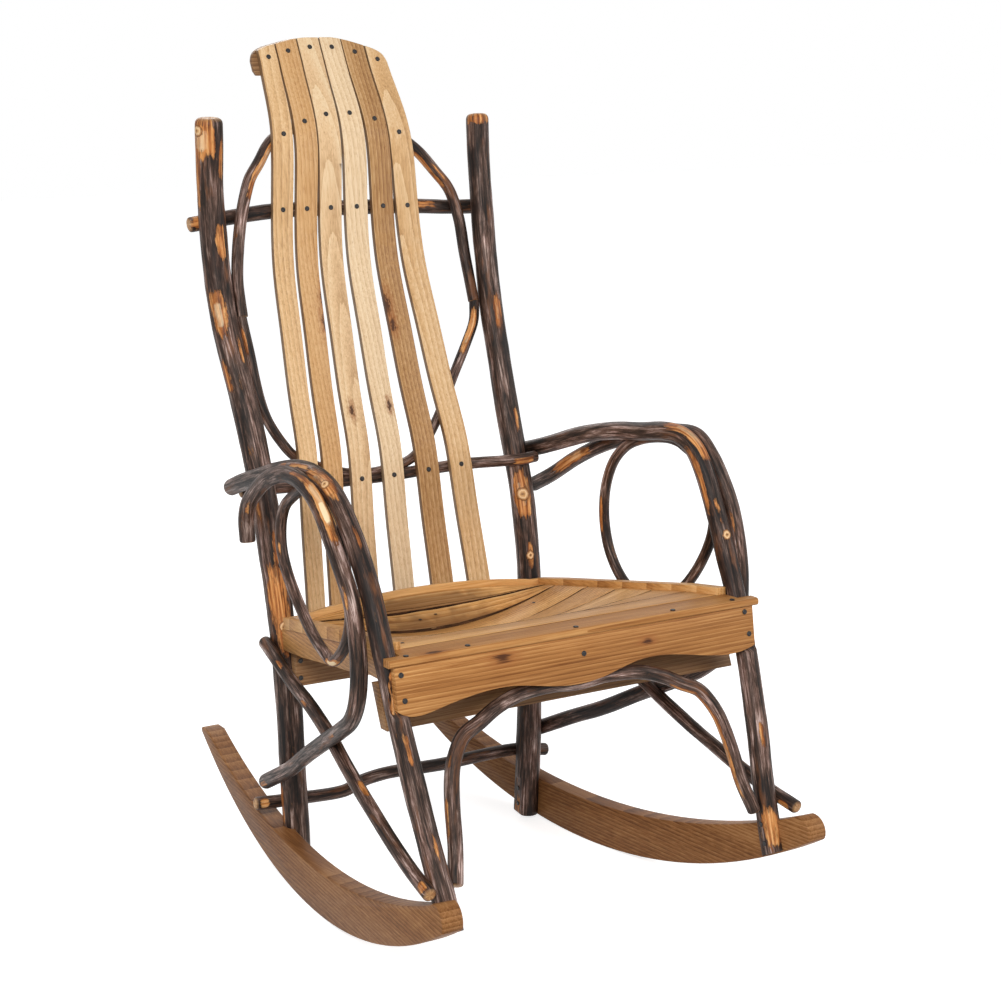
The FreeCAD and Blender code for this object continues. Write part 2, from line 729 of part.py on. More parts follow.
def side_rail(side):
    tops = rail_top_points()
    front = tops[0][0]
    rear = post_setback(side, tops[-1][1]) - post_dia / 2 + seat_cut * 2
    tops.append((rear, tops[-1][1] - seat_cut))
    under = [(at_length(y), at_height(z)) for y, z in rail_under_shares]
    under = [place for place in under if front < place[0] < rear]
    low_rear = interpolate([(at_length(y), at_height(z)) for y, z in rail_under_shares], rear)
    low_front = interpolate([(at_length(y), at_height(z)) for y, z in rail_under_shares], front)
    profile = tops + [(rear, low_rear)] + under[::-1] + [(front, low_front)]
    return beam(side, profile, rail_outer(front), rail_outer(rear), seat_rail_thick,
                front, rear)


def seat_section(y, top_sag, low_sag, thick):
    """Outline across the seat at one place: flat over the side rails, bowed between them."""
    wide = rail_front_half + rocker_thick
    inner = rail_outer(y) - seat_rail_thick - strip_overhang
    shares = [step / bow_parts for step in range(-bow_parts, bow_parts + 1)]
    lines = []
    for base, sag in ((rail_top(y), low_sag), (rail_top(y) + thick, top_sag)):
        bow = [VEC(share * inner, y, base - sag * (1 - share * share)) for share in shares]
        lines.append((VEC(-wide, y, base), bow, VEC(wide, y, base)))
    (low_left, low_bow, low_right), (top_left, top_bow, top_right) = lines
    edges = [Part.makeLine(low_left, low_bow[0]), smooth(low_bow).toShape(),
             Part.makeLine(low_bow[-1], low_right), Part.makeLine(low_right, top_right),
             Part.makeLine(top_right, top_bow[-1]), smooth(top_bow[::-1]).toShape(),
             Part.makeLine(top_bow[0], top_left), Part.makeLine(top_left, low_left)]
    return Part.Wire(edges)


def seat_board(front, rear, front_dish_share, rear_dish_share, thick):
    """Board across the seat, bowed by one share at its front edge and another at its rear."""
    front_sag, rear_sag = seat_dish * front_dish_share, seat_dish * rear_dish_share
    slope = (rail_top(rear) - rear_sag - rail_top(front) + front_sag) / (rear - front)
    steep = thick * (math.sqrt(1 + slope * slope) - 1)
    board = Part.makeLoft([seat_section(front, front_sag, front_sag + steep, thick),
                           seat_section(rear, rear_sag, rear_sag + steep, thick)], True, True)
    half_front, half_rear = strip_inner(front), strip_inner(rear)
    return board.common(plan([(-half_front, front), (half_front, front), (half_rear, rear),
                              (-half_rear, rear)]))


def strip_inner(y):
    """Half width between the strips that edge the seat."""
    return rail_outer(y) + strip_overhang - edge_strip_wide


def seat_slat(index):
    front, rear = at_length(seat_edge_shares[index]), at_length(seat_edge_shares[index + 1])
    return seat_board(front, rear, *slat_dish_shares[index], seat_slat_thick)


def edge_strip(side):
    under = rail_top_points()[1:]
    over = [(y, z + seat_slat_thick + edge_strip_high) for y, z in under]
    front, rear = under[0][0], under[-1][0]
    return beam(side, under + over[::-1], rail_outer(front) + strip_overhang,
                rail_outer(rear) + strip_overhang, edge_strip_wide, front, rear)


def rear_strip():
    crown_share = slat_dish_shares[-1][1]
    return seat_board(at_length(seat_edge_shares[-1]), at_length(seat_rear_share), crown_share,
                      crown_share, seat_slat_thick + edge_strip_high)


def inner_front_rail():
    front = at_length(inner_rail_front_share)
    low, high = at_height(inner_rail_share[0]), at_height(inner_rail_share[1])
    low_front = front - inner_rail_lean * (high - low)
    profile = [(low_front, low), (low_front + inner_rail_thick, low),
               (front + inner_rail_thick, high), (front, high)]
    return side_profile(profile, rail_outer(front) + inner_rail_overhang)


def rear_board():
    low, high = rear_board_share
    level = at_height((low + high) / 2)
    half = post_half(level)
    backs = [post_setback(side, level) - post_dia / 2 + seat_cut * 2 for side in (-1, 1)]
    outline = [VEC(-half, backs[0], at_height(low)), VEC(half, backs[1], at_height(low)),
               VEC(half, backs[1] - board_thick, at_height(low)),
               VEC(-half, backs[0] - board_thick, at_height(low))]
    return prism(outline, VEC(0, 0, at_height(high) - at_height(low)))


def screw_head(place, outward):
    """Low domed head that stands proud of a face at a place."""
    start = place - outward * screw_head_high
    head = Part.makeCylinder(screw_head_dia / 2, screw_head_high * 2, start, outward)
    rim = [edge for edge in head.Edges
           if (edge.CenterOfMass - (place + outward * screw_head_high)).Length < seat_cut / 4]
    return head.makeChamfer(screw_chamfer, rim)


def back_lean(z):
    """Setback gained for each unit of height on the face of the back."""
    step = rocker_thick / 2
    return (back_face(z + step) - back_face(z - step)) / (2 * step)


def stick_level(shares, x, dia):
    """Face height of a screw driven square to the slat into a stick behind it."""
    level = interpolate([(across * post_half(at_height(rise)), at_height(rise))
                         for across, along, rise in shares], x)
    return level + (slat_thick + dia / 2) * back_lean(level)


def back_slat_screws(sheet):
    """Four heads on each slat, one for each piece that the slat is screwed to."""
    rows = ((upper_hoop_shares, upper_hoop_dia), (upper_rail_shares, upper_rail_dia),
            (lower_rail_shares, lower_rail_dia))
    heads = []
    for index in range(len(slat_middle_shares)):
        crest = slat_places(index, slat_station_shares[-1])[0]
        levels = [(crest, crest_level(crest) - batten_high * batten_screw_share)]
        for shares, dia in rows:
            rough = at_height(shares[len(shares) // 2][2])
            middle = slat_places(index, rough / back_height)[0]
            levels.append((middle, stick_level(shares, middle, dia)))
        for x, z in levels:
            outward = VEC(0, -1, back_lean(z)).normalize()
            heads.append(screw_head(face_place(sheet, x, z), outward).cut(sheet))
    return Part.makeCompound(heads)


def face_place(sheet, x, z):
    """First point of the sheet that a level line from the front meets."""
    line = Part.makeLine(VEC(x, -rocker_length, z), VEC(x, rocker_length, z))
    hits = line.common(sheet)
    return min((vertex.Point for vertex in hits.Vertexes), key=lambda point: point.y)


def seat_screws():
    heads = []
    for share in nosing_screw_shares:
        place = VEC(share * apron_half(), at_length(nosing_screw_place_share),
                    seat_level() + nosing_thick)
        heads.append(screw_head(place, VEC(0, 0, 1)))
    level = seat_level() + nosing_thick
    below = box_between(VEC(-rocker_length, -rocker_length, 0),
                        VEC(rocker_length, rocker_length, level))
    return Part.makeCompound([head.cut(below) for head in heads])


def apron_screws(apron):
    heads = []
    outward = VEC(0, -1, apron_lean).normalize()
    for across, rise in apron_screw_shares:
        z = at_height(rise)
        place = VEC(across * apron_half(), apron_face(z), z)
        heads.append(screw_head(place, outward).cut(apron))
    return Part.makeCompound(heads)


def board_screws(board):
    """Two heads at each end of the board that crosses the front of the posts."""
    heads = []
    low, high = rear_board_share
    level = at_height((low + high) / 2)
    backs = [post_setback(side, level) - post_dia / 2 + seat_cut * 2 for side in (-1, 1)]
    slope = (backs[1] - backs[0]) / (2 * post_half(level))
    outward = VEC(slope, -1, 0).normalize()
    for side in (-1, 1):
        x = side * (post_half(level) - board_screw_inset)
        y = (backs[0] + backs[1]) / 2 + slope * x - board_thick
        for rise in board_screw_shares:
            z = at_height(low + (high - low) * rise)
            heads.append(screw_head(VEC(x, y, z), outward).cut(board))
    return Part.makeCompound(heads)


def foot_screws():
    """Two heads on the planed inner side of each post and leg."""
    heads = []
    for side in (-1, 1):
        for inner, low, setback in foot_places():
            for share in foot_screw_shares:
                z = low + foot_flat_high * share
                place = VEC(side * (inner + foot_flat_deep), setback(side, z), z)
                beyond = box_between(VEC(inner + foot_flat_deep, -rocker_length, 0),
                                     VEC(rocker_length, rocker_length, back_height))
                if side < 0:
                    beyond = beyond.mirror(VEC(0, 0, 0), VEC(1, 0, 0))
                heads.append(screw_head(place, VEC(-side, 0, 0)).cut(beyond))
    return Part.makeCompound(heads)


def build_sides(pieces):
    for side, name in ((-1, "left"), (1, "right")):
        shoe = rocker(side)
        post = rear_post(side).cut(shoe)
        leg = leg_arm(side).common(rolling_space()).cut(shoe).cut(arm_facet(side, True))
        arm = outer_arm(side).cut(arm_facet(side, False)).cut(post)
        loop = arm_loop(side).cut(leg).cut(arm)
        brace = side_brace(side).cut(post).cut(leg).cut(arm)
        leg = leg.cut(post)
        (post_inner, post_low, _), (leg_inner, leg_low, _) = foot_places()
        post = post.cut(foot_flat(post_inner, post_low))
        leg = leg.cut(foot_flat(leg_inner, leg_low))
        pieces["rocker_" + name] = shoe
        pieces["rear_post_" + name] = post
        pieces["front_leg_arm_" + name] = leg
        pieces["outer_arm_" + name] = arm
        pieces["arm_loop_" + name] = loop
        pieces["side_brace_" + name] = brace


def build_seat(pieces):
    apron = front_apron()
    nosing = seat_nosing()
    flat = leg_flat()
    hoop = front_hoop()
    for side, name in ((-1, "left"), (1, "right")):
        rail = side_rail(side).cut(apron).cut(nosing)
        leg = pieces["front_leg_arm_" + name].cut(flat).cut(apron).cut(rail)
        pieces["front_leg_arm_" + name] = leg
        pieces["rear_post_" + name] = pieces["rear_post_" + name].cut(rail)
        pieces["side_rail_" + name] = rail
        pieces["seat_edge_" + name] = edge_strip(side).cut(leg)
        hoop = hoop.cut(leg)
    for name in ("left", "right"):
        nosing = nosing.cut(pieces["front_leg_arm_" + name])
    pieces["front_hoop"] = hoop
    pieces["front_apron"] = apron.cut(hoop)
    pieces["seat_nosing"] = nosing
    inner_rail = inner_front_rail()
    for name in ("left", "right"):
        inner_rail = inner_rail.cut(pieces["side_rail_" + name])
    pieces["inner_front_rail"] = inner_rail
    pieces["rear_board"] = rear_board()
    for index in range(len(slat_dish_shares)):
        pieces["seat_slat_" + str(index + 1)] = seat_slat(index)
    pieces["seat_edge_rear"] = rear_strip()
    for name in ("left", "right"):
        post = pieces["rear_post_" + name]
        for key in ("seat_edge_rear", "seat_edge_" + name):
            pieces[key] = pieces[key].cut(post)


def build_back(pieces):
    sheet = back_sheet(0, slat_thick)
    crested = sheet.common(crest_outline())
    for index in range(len(slat_middle_shares)):
        pieces["back_slat_" + str(index + 1)] = back_slat(index, crested)
    upper_rail = cross_rail(upper_rail_shares, upper_rail_dia, upper_rail_rings)
    lower_rail = cross_rail(lower_rail_shares, lower_rail_dia, lower_rail_rings)
    stretcher = rear_stretcher()
    slatted = slatted_zone(sheet)
    reach = seat_cut / rocker_length * 4
    upper_hoop = back_hoop(upper_hoop_shares, upper_hoop_dia, -reach).cut(below_meeting())
    lower_hoop = back_hoop(lower_hoop_shares, lower_hoop_dia, reach).common(below_meeting())
    upper_rail = upper_rail.cut(slatted).cut(upper_hoop.cut(slatted))
    pieces["upper_back_rail"] = upper_rail
    pieces["upper_back_hoop"] = upper_hoop.cut(slatted)
    pieces["lower_back_rail"] = lower_rail.cut(slatted)
    pieces["lower_back_hoop"] = lower_hoop.cut(slatted).cut(lower_rail)
    pieces["rear_stretcher"] = stretcher
    board = pieces["rear_board"]
    for name in ("left", "right"):
        post = pieces["rear_post_" + name]
        for crossing in (upper_rail, pieces["lower_back_rail"], stretcher, board):
            post = post.cut(crossing)
        for key in ("upper_back_hoop", "lower_back_hoop"):
            pieces[key] = pieces[key].cut(post)
        pieces["rear_post_" + name] = post
        leg = pieces["front_leg_arm_" + name]
        pieces["front_leg_arm_" + name] = leg.cut(pieces["lower_back_rail"])
    pieces["crest_batten"] = crest_batten()
    pieces["back_slat_screws"] = back_slat_screws(sheet)


def main():
    pieces = {}
    build_sides(pieces)
    build_seat(pieces)
    build_back(pieces)
    pieces["seat_screws"] = seat_screws()
    pieces["apron_screws"] = apron_screws(pieces["front_apron"])
    pieces["rear_board_screws"] = board_screws(pieces["rear_board"])
    pieces["foot_screws"] = foot_screws()
    os.makedirs("parts", exist_ok=True)
    for name, shape in pieces.items():
        solids = shape.Solids
        print(name, len(solids), round(shape.Volume), shape.isValid())
        shape.exportStep("parts/" + name + ".step")


main()
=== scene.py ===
"""Looks of the rocking chair: bark-on bent sticks, sawn boards, screw heads, floor and light."""
import bpy
import bmesh
import math
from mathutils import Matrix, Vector, noise
from mathutils.bvhtree import BVHTree

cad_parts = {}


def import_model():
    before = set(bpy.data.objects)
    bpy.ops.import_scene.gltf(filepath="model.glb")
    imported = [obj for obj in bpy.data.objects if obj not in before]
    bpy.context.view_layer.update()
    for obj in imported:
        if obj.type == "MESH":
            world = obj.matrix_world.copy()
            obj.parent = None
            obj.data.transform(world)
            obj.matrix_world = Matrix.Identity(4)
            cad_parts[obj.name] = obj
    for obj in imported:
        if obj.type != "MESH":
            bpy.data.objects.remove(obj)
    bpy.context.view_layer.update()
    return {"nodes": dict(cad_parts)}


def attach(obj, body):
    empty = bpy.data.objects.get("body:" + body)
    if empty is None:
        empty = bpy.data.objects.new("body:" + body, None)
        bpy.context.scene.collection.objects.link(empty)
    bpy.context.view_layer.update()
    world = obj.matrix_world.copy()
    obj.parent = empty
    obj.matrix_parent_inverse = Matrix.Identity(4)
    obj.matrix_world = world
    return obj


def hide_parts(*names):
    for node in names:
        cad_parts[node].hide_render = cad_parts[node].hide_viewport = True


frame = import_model()

# sizes in metres, as in the CAD
rocker_length = 0.876
back_height = 1.143
arm_plane_half = 0.249
arm_plane_taper = 0.081
rocker_plane_half = 0.2435
rocker_splay = 0.109
rocker_thick = 0.029
rocker_radius = 0.842
balance_setback = 0.0085
foot_clearance = 0.002
post_foot_half = 0.1905
post_lean_out = 0.0268
seat_level = 0.3615 * back_height
seat_cut = 0.002
leg_foot_dia = 0.030
leg_arm_dia = 0.025
outer_arm_dia = 0.0224
post_dia = 0.037
post_top_dia = {-1: 0.038, 1: 0.033}
loop_dia = 0.015
loop_lane = 0.006
brace_dia = 0.0185
hoop_foot_dia = 0.020
hoop_right_dia = 0.018
upper_rail_dia = 0.0215
lower_rail_dia = 0.017
upper_hoop_dia = 0.017
lower_hoop_dia = 0.0145
stretcher_dia = 0.0185
slat_thick = 0.008
post_round = 0.008
stick_round = 0.0035
foot_flat_deep = 0.004
foot_flat_high = 0.056
foot_rise_shares = (0.010, 0.085)
apron_face_share = -0.339
apron_lean = 0.15
apron_thick = 0.020
apron_low_share = 0.311
seat_joint_shares = (-0.233, -0.162, -0.082, -0.007, 0.071, 0.1005)
# seam_half: half widths of the painted shadow strips over the seat joints
seam_half = (0.0008, 0.0009, 0.0010, 0.0012, 0.0013, 0.0018)
seat_half = 0.232
nail_radius = 0.0028
nail_high = nail_radius / 4
leg_upright_points = 9
arm_first_point = 7
sweep_front_point = 12
sweep_bow = 0.25

# how finely the sticks are drawn, and how uneven they are
stick_step = 0.004
stick_sides = 32
curve_parts = 24
least_places = 8
tiny = 1e-4
cap_steps = 4
cap_face_shares = (0.96, 0.6, 0.05)
lump_along_share = 0.8
lump_around_share = 0.7
lump_along_wave = 14
lump_waves = ((1.0, 0.9, 18), (0.5, 2.2, 55))
seed_spread = (3.17, 1.31, 9.1)
knot_swell_share = 0.22
knot_swell_fall = 1.3
patch_core = 1.55
patch_square_share = 0.6
trimmed_bare = 0.55
cut_end_round = 0.0015

# boards, painted seam shadows and nails
weld_gap = 0.00002
flat_turn = math.radians(0.6)
soften_turn = math.radians(30)
smooth_turn = math.radians(40)
board_soften = 0.0015
rocker_soften = 0.002
edge_soften = 0.0025
nosing_soften = 0.0008
seat_soften = 0.0018
seam_steps = 40
seam_ragged_share = 0.7
seam_wave = 30
seam_seed = 3.1
nail_sides = 12
nail_ring_shares = ((0.6, 0.8), (1.0, 0.0))

# floor, lamps and camera
floor_reach = 12.0
floor_tone = (0.70, 0.70, 0.70, 1)
floor_glow = 0.78
sky_tone = (0.95, 0.97, 1.0, 1)
sky_strength = 0.34
lamps = (("key", (-2.3, -2.9, 2.7), (0, 0, 0.5), 1.3, 125, (1.0, 0.98, 0.95)),
         ("fill", (2.8, -2.2, 2.0), (0, 0, 0.5), 1.6, 42, (1, 1, 1)),
         ("back", (0.8, 3.0, 2.6), (0, 0, 0.6), 2.0, 34, (1, 1, 1)))
camera_place = (-1.5170, -2.5047, 1.1656)
camera_down = math.radians(12.18)
camera_aside = math.radians(-32.28)
camera_lens = 79.12
camera_sensor = 36.0
camera_far = 60

leg_arm_shares = {
    -1: ((-0.465, 0.070), (-0.434, 0.129), (-0.417, 0.155), (-0.388, 0.202),
         (-0.360, 0.253), (-0.332, 0.315), (-0.305, 0.370), (-0.265, 0.428),
         (-0.210, 0.479), (-0.150, 0.515), (-0.110, 0.527), (-0.074, 0.531),
         (-0.036, 0.531), (0.014, 0.526), (0.070, 0.516), (0.136, 0.501),
         (0.209, 0.484), (0.267, 0.469)),
    1: ((-0.441, 0.070), (-0.429, 0.094), (-0.397, 0.165), (-0.371, 0.231),
        (-0.336, 0.305), (-0.304, 0.362), (-0.278, 0.413), (-0.258, 0.452),
        (-0.222, 0.510), (-0.198, 0.533), (-0.170, 0.543), (-0.133, 0.544),
        (-0.073, 0.537), (-0.004, 0.530), (0.065, 0.518), (0.130, 0.502),
        (0.181, 0.489), (0.223, 0.480), (0.262, 0.472)),
}
outer_arm_shares = {
    -1: ((0.137, 0.426), (0.141, 0.450), (0.131, 0.469), (0.100, 0.489),
         (0.050, 0.511), (-0.018, 0.527), (-0.075, 0.528), (-0.119, 0.519),
         (-0.154, 0.504), (-0.190, 0.478), (-0.225, 0.451), (-0.255, 0.423),
         (-0.273, 0.383), (-0.277, 0.345), (-0.264, 0.313), (-0.232, 0.284),
         (-0.173, 0.257), (-0.103, 0.229), (0.001, 0.186), (0.089, 0.147),
         (0.205, 0.103)),
    1: ((0.236, 0.430), (0.187, 0.449), (0.123, 0.478), (0.058, 0.502),
        (-0.042, 0.528), (-0.125, 0.541), (-0.176, 0.541), (-0.209, 0.521),
        (-0.231, 0.500), (-0.254, 0.470), (-0.272, 0.429), (-0.282, 0.381),
        (-0.277, 0.325), (-0.250, 0.288), (-0.213, 0.261), (-0.164, 0.239),
        (-0.083, 0.207), (0.000, 0.173), (0.069, 0.149), (0.145, 0.121),
        (0.190, 0.105)),
}
post_shares = {
    -1: ((0.147, -0.010), (0.150, 0.062), (0.154, 0.113), (0.158, 0.228), (0.176, 0.339),
         (0.194, 0.398), (0.212, 0.458), (0.237, 0.517), (0.273, 0.580), (0.301, 0.625),
         (0.326, 0.667), (0.342, 0.716), (0.351, 0.776), (0.353, 0.830), (0.346, 0.904)),
    1: ((0.146, -0.010), (0.143, 0.080), (0.143, 0.161), (0.147, 0.241), (0.156, 0.335),
        (0.180, 0.421), (0.203, 0.471), (0.235, 0.533), (0.263, 0.595), (0.296, 0.670),
        (0.316, 0.734), (0.332, 0.798), (0.343, 0.850), (0.350, 0.901)),
}
loop_start_shares = {-1: -0.085, 1: -0.205}
loop_end_shares = {-1: -0.172, 1: -0.252}
loop_shares = {
    -1: ((-0.051, 0.516), (-0.012, 0.501), (0.030, 0.480), (0.046, 0.455), (0.045, 0.430),
         (0.029, 0.408), (0.004, 0.388), (-0.030, 0.368), (-0.066, 0.350), (-0.105, 0.337),
         (-0.142, 0.331), (-0.174, 0.346), (-0.198, 0.368), (-0.208, 0.391), (-0.205, 0.415),
         (-0.194, 0.442), (-0.183, 0.468)),
    1: ((-0.180, 0.527), (-0.160, 0.533), (-0.136, 0.535), (-0.100, 0.532), (-0.065, 0.525),
        (-0.031, 0.513), (-0.004, 0.494), (0.013, 0.470), (0.022, 0.440), (0.020, 0.406),
        (0.005, 0.372), (-0.027, 0.343), (-0.072, 0.327), (-0.125, 0.331), (-0.175, 0.357),
        (-0.212, 0.391), (-0.236, 0.427)),
}
brace_shares = ((0.177, 0.288), (0.130, 0.278), (0.067, 0.263), (-0.015, 0.249),
                (-0.093, 0.230), (-0.149, 0.211), (-0.204, 0.194), (-0.258, 0.179),
                (-0.327, 0.161), (-0.393, 0.147), (-0.443, 0.139))
hoop_shares = ((0.913, 0.136), (0.885, 0.167), (0.863, 0.202), (0.842, 0.227),
               (0.818, 0.245), (0.775, 0.262), (0.722, 0.275), (0.622, 0.285),
               (0.505, 0.297), (0.375, 0.305), (0.180, 0.308), (0.000, 0.306))
hoop_plane_share = -0.481
hoop_lean = 0.375
back_face_shares = ((0.1655, 0.3045), (0.172, 0.330), (0.201, 0.425), (0.226, 0.509),
                    (0.259, 0.568), (0.300, 0.652), (0.334, 0.724), (0.350, 0.808),
                    (0.356, 0.864), (0.364, 0.893), (0.387, 0.930), (0.412, 0.9615),
                    (0.429, 0.986), (0.442, 1.005))
upper_rail_shares = ((-1.11, 0.374, 0.782), (-0.82, 0.371, 0.789), (-0.53, None, 0.794),
                     (0.00, None, 0.794), (0.53, None, 0.792), (0.80, 0.364, 0.789),
                     (1.09, 0.357, 0.788))
lower_rail_shares = ((-1.09, 0.246, 0.465), (-0.96, 0.243, 0.466), (-0.72, 0.235, 0.466),
                     (-0.40, None, 0.466), (0.00, None, 0.466), (0.40, None, 0.468),
                     (0.64, 0.226, 0.470), (0.85, 0.197, 0.473), (1.00, 0.181, 0.475),
                     (1.09, 0.178, 0.477))
upper_hoop_shares = ((-0.866, 0.338, 0.714), (-0.841, 0.344, 0.750), (-0.806, 0.346, 0.787),
                     (-0.771, 0.349, 0.810), (-0.713, 0.356, 0.835), (-0.632, 0.364, 0.853),
                     (-0.501, None, 0.880), (-0.326, None, 0.895), (-0.147, None, 0.904),
                     (0.041, None, 0.906), (0.216, None, 0.901), (0.382, None, 0.888),
                     (0.549, 0.370, 0.866), (0.690, 0.357, 0.835), (0.780, 0.349, 0.812),
                     (0.850, 0.344, 0.775), (0.872, 0.333, 0.732))
lower_hoop_shares = ((-0.880, 0.300, 0.632), (-0.880, 0.283, 0.596), (-0.876, 0.271, 0.573),
                     (-0.850, 0.260, 0.5485), (-0.7845, 0.250, 0.524), (-0.690, 0.242, 0.502),
                     (-0.516, None, 0.4865), (-0.307, None, 0.475), (-0.080, None, 0.4725),
                     (0.180, None, 0.4815), (0.290, None, 0.494), (0.402, None, 0.515),
                     (0.540, None, 0.545), (0.663, 0.280, 0.578), (0.800, 0.293, 0.618),
                     (0.875, 0.300, 0.645))
hoop_meeting_share = 0.671
stretcher_shares = ((-1.24, 0.084), (-0.95, 0.081), (-0.52, 0.079), (-0.41, 0.086),
                    (-0.19, 0.091), (0.28, 0.0885), (0.96, 0.0895), (1.23, 0.0815))

# bark marks: angles in degrees from the side that the photo shows, to the right along the path
shown_side = Vector((-0.52, -0.83, 0.20)).normalized()
# places where the bark is gone: share along, half share, angle, half angle, strength
stick_patches = {
    "post_left": ((0.98, 0.024, -30, 60, 1.15), (0.94, 0.055, -54, 20, 1.0),
                  (0.955, 0.03, 62, 16, 0.9), (0.845, 0.022, 34, 24, 1.1),
                  (0.745, 0.03, -14, 34, 1.15), (0.66, 0.025, -46, 22, 1.0),
                  (0.69, 0.02, 50, 12, 0.8), (0.48, 0.018, -30, 14, 0.8),
                  (0.43, 0.03, 28, 14, 0.9), (0.365, 0.048, 5, 46, 1.0),
                  (0.325, 0.042, 20, 42, 1.05), (0.08, 0.03, -66, 16, 0.9),
                  (0.6, 0.035, 170, 30, 1.0), (0.25, 0.04, 150, 26, 0.9)),
    "post_right": ((0.725, 0.025, 34, 24, 1.1), (0.565, 0.02, 40, 18, 0.9),
                   (0.46, 0.03, 0, 40, 1.1), (0.998, 0.007, 10, 80, 0.8),
                   (0.375, 0.018, 12, 16, 0.8), (0.8, 0.05, 160, 24, 1.0),
                   (0.3, 0.045, -160, 28, 1.0)),
    "leg_arm_left": ((0.625, 0.04, 0, 40, 1.1), (0.7, 0.03, 18, 20, 0.85),
                     (0.755, 0.016, 24, 18, 0.8), (0.235, 0.028, 16, 16, 0.85),
                     (0.11, 0.022, 34, 12, 0.7), (0.52, 0.02, 28, 12, 0.7),
                     (0.85, 0.03, 150, 28, 0.9)),
    "leg_arm_right": ((0.58, 0.04, 36, 36, 1.1), (0.52, 0.05, -40, 18, 1.0),
                      (0.47, 0.02, 10, 14, 0.8), (0.16, 0.03, 20, 16, 0.8),
                      (0.03, 0.03, 10, 60, 0.9)),
    "outer_left": ((0.3, 0.055, -30, 38, 1.15), (0.313, 0.016, -25, 22, 1.7),
                   (0.24, 0.024, -20, 20, 0.9), (0.42, 0.018, 30, 16, 0.8),
                   (0.985, 0.012, 5, 30, 0.8), (0.66, 0.025, 20, 20, 0.7),
                   (0.06, 0.02, 10, 16, 0.7)),
    "outer_right": ((0.1, 0.04, -20, 46, 1.1), (0.34, 0.035, 46, 34, 1.1),
                    (0.44, 0.022, 20, 14, 0.8), (0.75, 0.03, 150, 26, 0.9)),
    "loop_left": ((0.645, 0.022, 8, 34, 1.45), (0.3, 0.02, 20, 18, 0.7)),
    "loop_right": ((0.415, 0.05, 46, 20, 1.05), (0.62, 0.03, 60, 20, 0.8)),
    "hoop_front": ((0.86, 0.115, 62, 30, 1.1), (0.72, 0.04, 48, 22, 0.9),
                   (0.1, 0.035, -52, 22, 1.0), (0.2, 0.02, -30, 16, 0.8)),
    "brace_left": ((0.635, 0.028, -44, 28, 1.1), (0.985, 0.014, 13, 46, 1.1),
                   (0.3, 0.02, 20, 18, 0.8), (0.12, 0.02, -10, 20, 0.8)),
    "brace_right": ((0.975, 0.018, 45, 50, 1.0), (0.4, 0.022, 30, 18, 0.8)),
    "hoop_upper": ((0.295, 0.085, 52, 34, 1.12), (0.71, 0.06, 52, 30, 1.1),
                   (0.74, 0.03, -30, 18, 0.8), (0.16, 0.02, -20, 14, 0.7)),
    "hoop_lower": ((0.93, 0.055, -8, 38, 1.1), (0.055, 0.03, 20, 24, 0.9)),
    "rail_upper": ((0.02, 0.02, 0, 60, 1.0), (0.78, 0.05, -10, 30, 0.9)),
    "rail_lower": ((0.03, 0.02, -10, 40, 0.9), (0.955, 0.03, 20, 40, 1.0)),
    "stretcher": ((0.015, 0.015, 0, 60, 0.8), (0.5, 0.03, 10, 20, 0.7)),
}
# knots: share along, angle, radius
stick_knots = {
    "post_left": ((0.992, -42, 0.010), (0.325, 14, 0.0085), (0.60, 120, 0.010)),
    "post_right": ((0.46, 4, 0.011), (0.375, 10, 0.007), (0.70, 150, 0.010)),
    "leg_arm_left": ((0.615, -2, 0.0085),),
    "leg_arm_right": ((0.436, 26, 0.0075),),
    "outer_right": ((0.60, 30, 0.006),),
}

# nail heads on the seat: board, x and y
seat_nails = ((6, 0.007, 0.080), (6, -0.020, 0.076), (4, 0.003, -0.012), (5, 0.147, 0.040),
              (1, -0.222, -0.228))
# wood tones, dark, middle and light, of the back slats from left to right
slat_tones = (
    ((0.42, 0.235, 0.1), (0.67, 0.42, 0.205), (0.8, 0.57, 0.33)),
    ((0.33, 0.155, 0.055), (0.56, 0.31, 0.125), (0.68, 0.43, 0.215)),
    ((0.5, 0.3, 0.145), (0.72, 0.49, 0.275), (0.82, 0.63, 0.4)),
    ((0.56, 0.365, 0.2), (0.76, 0.56, 0.345), (0.85, 0.68, 0.47)),
    ((0.25, 0.115, 0.04), (0.44, 0.24, 0.095), (0.6, 0.38, 0.19)),
    ((0.38, 0.205, 0.08), (0.63, 0.385, 0.18), (0.78, 0.56, 0.33)),
)
# dark knots on the boards: x, y, z and radius
slat_knots = (
    (),
    ((-0.062, 0.3, 0.752, 0.015), (-0.06, 0.3, 0.785, 0.009)),
    ((-0.047, 0.245, 0.63, 0.009),),
    ((0.014, 0.245, 0.632, 0.0085),),
    ((0.042, 0.297, 0.768, 0.018), (0.046, 0.292, 0.74, 0.012)),
    (),
)
apron_knots = ((-0.12, -0.3, 0.402, 0.016), (0.1, -0.3, 0.392, 0.01))
nosing_knots = ((-0.215, -0.292, 0.42, 0.014),)
honey = ((0.3, 0.12, 0.032), (0.6, 0.3, 0.095), (0.82, 0.5, 0.215))
amber = ((0.26, 0.1, 0.026), (0.5, 0.235, 0.07), (0.7, 0.39, 0.15))
russet = ((0.2, 0.072, 0.018), (0.4, 0.175, 0.052), (0.6, 0.315, 0.115))
under_tone = ((0.13, 0.06, 0.024), (0.26, 0.135, 0.058), (0.38, 0.22, 0.105))
rocker_tone = ((0.105, 0.038, 0.012), (0.245, 0.105, 0.036), (0.4, 0.2, 0.08))

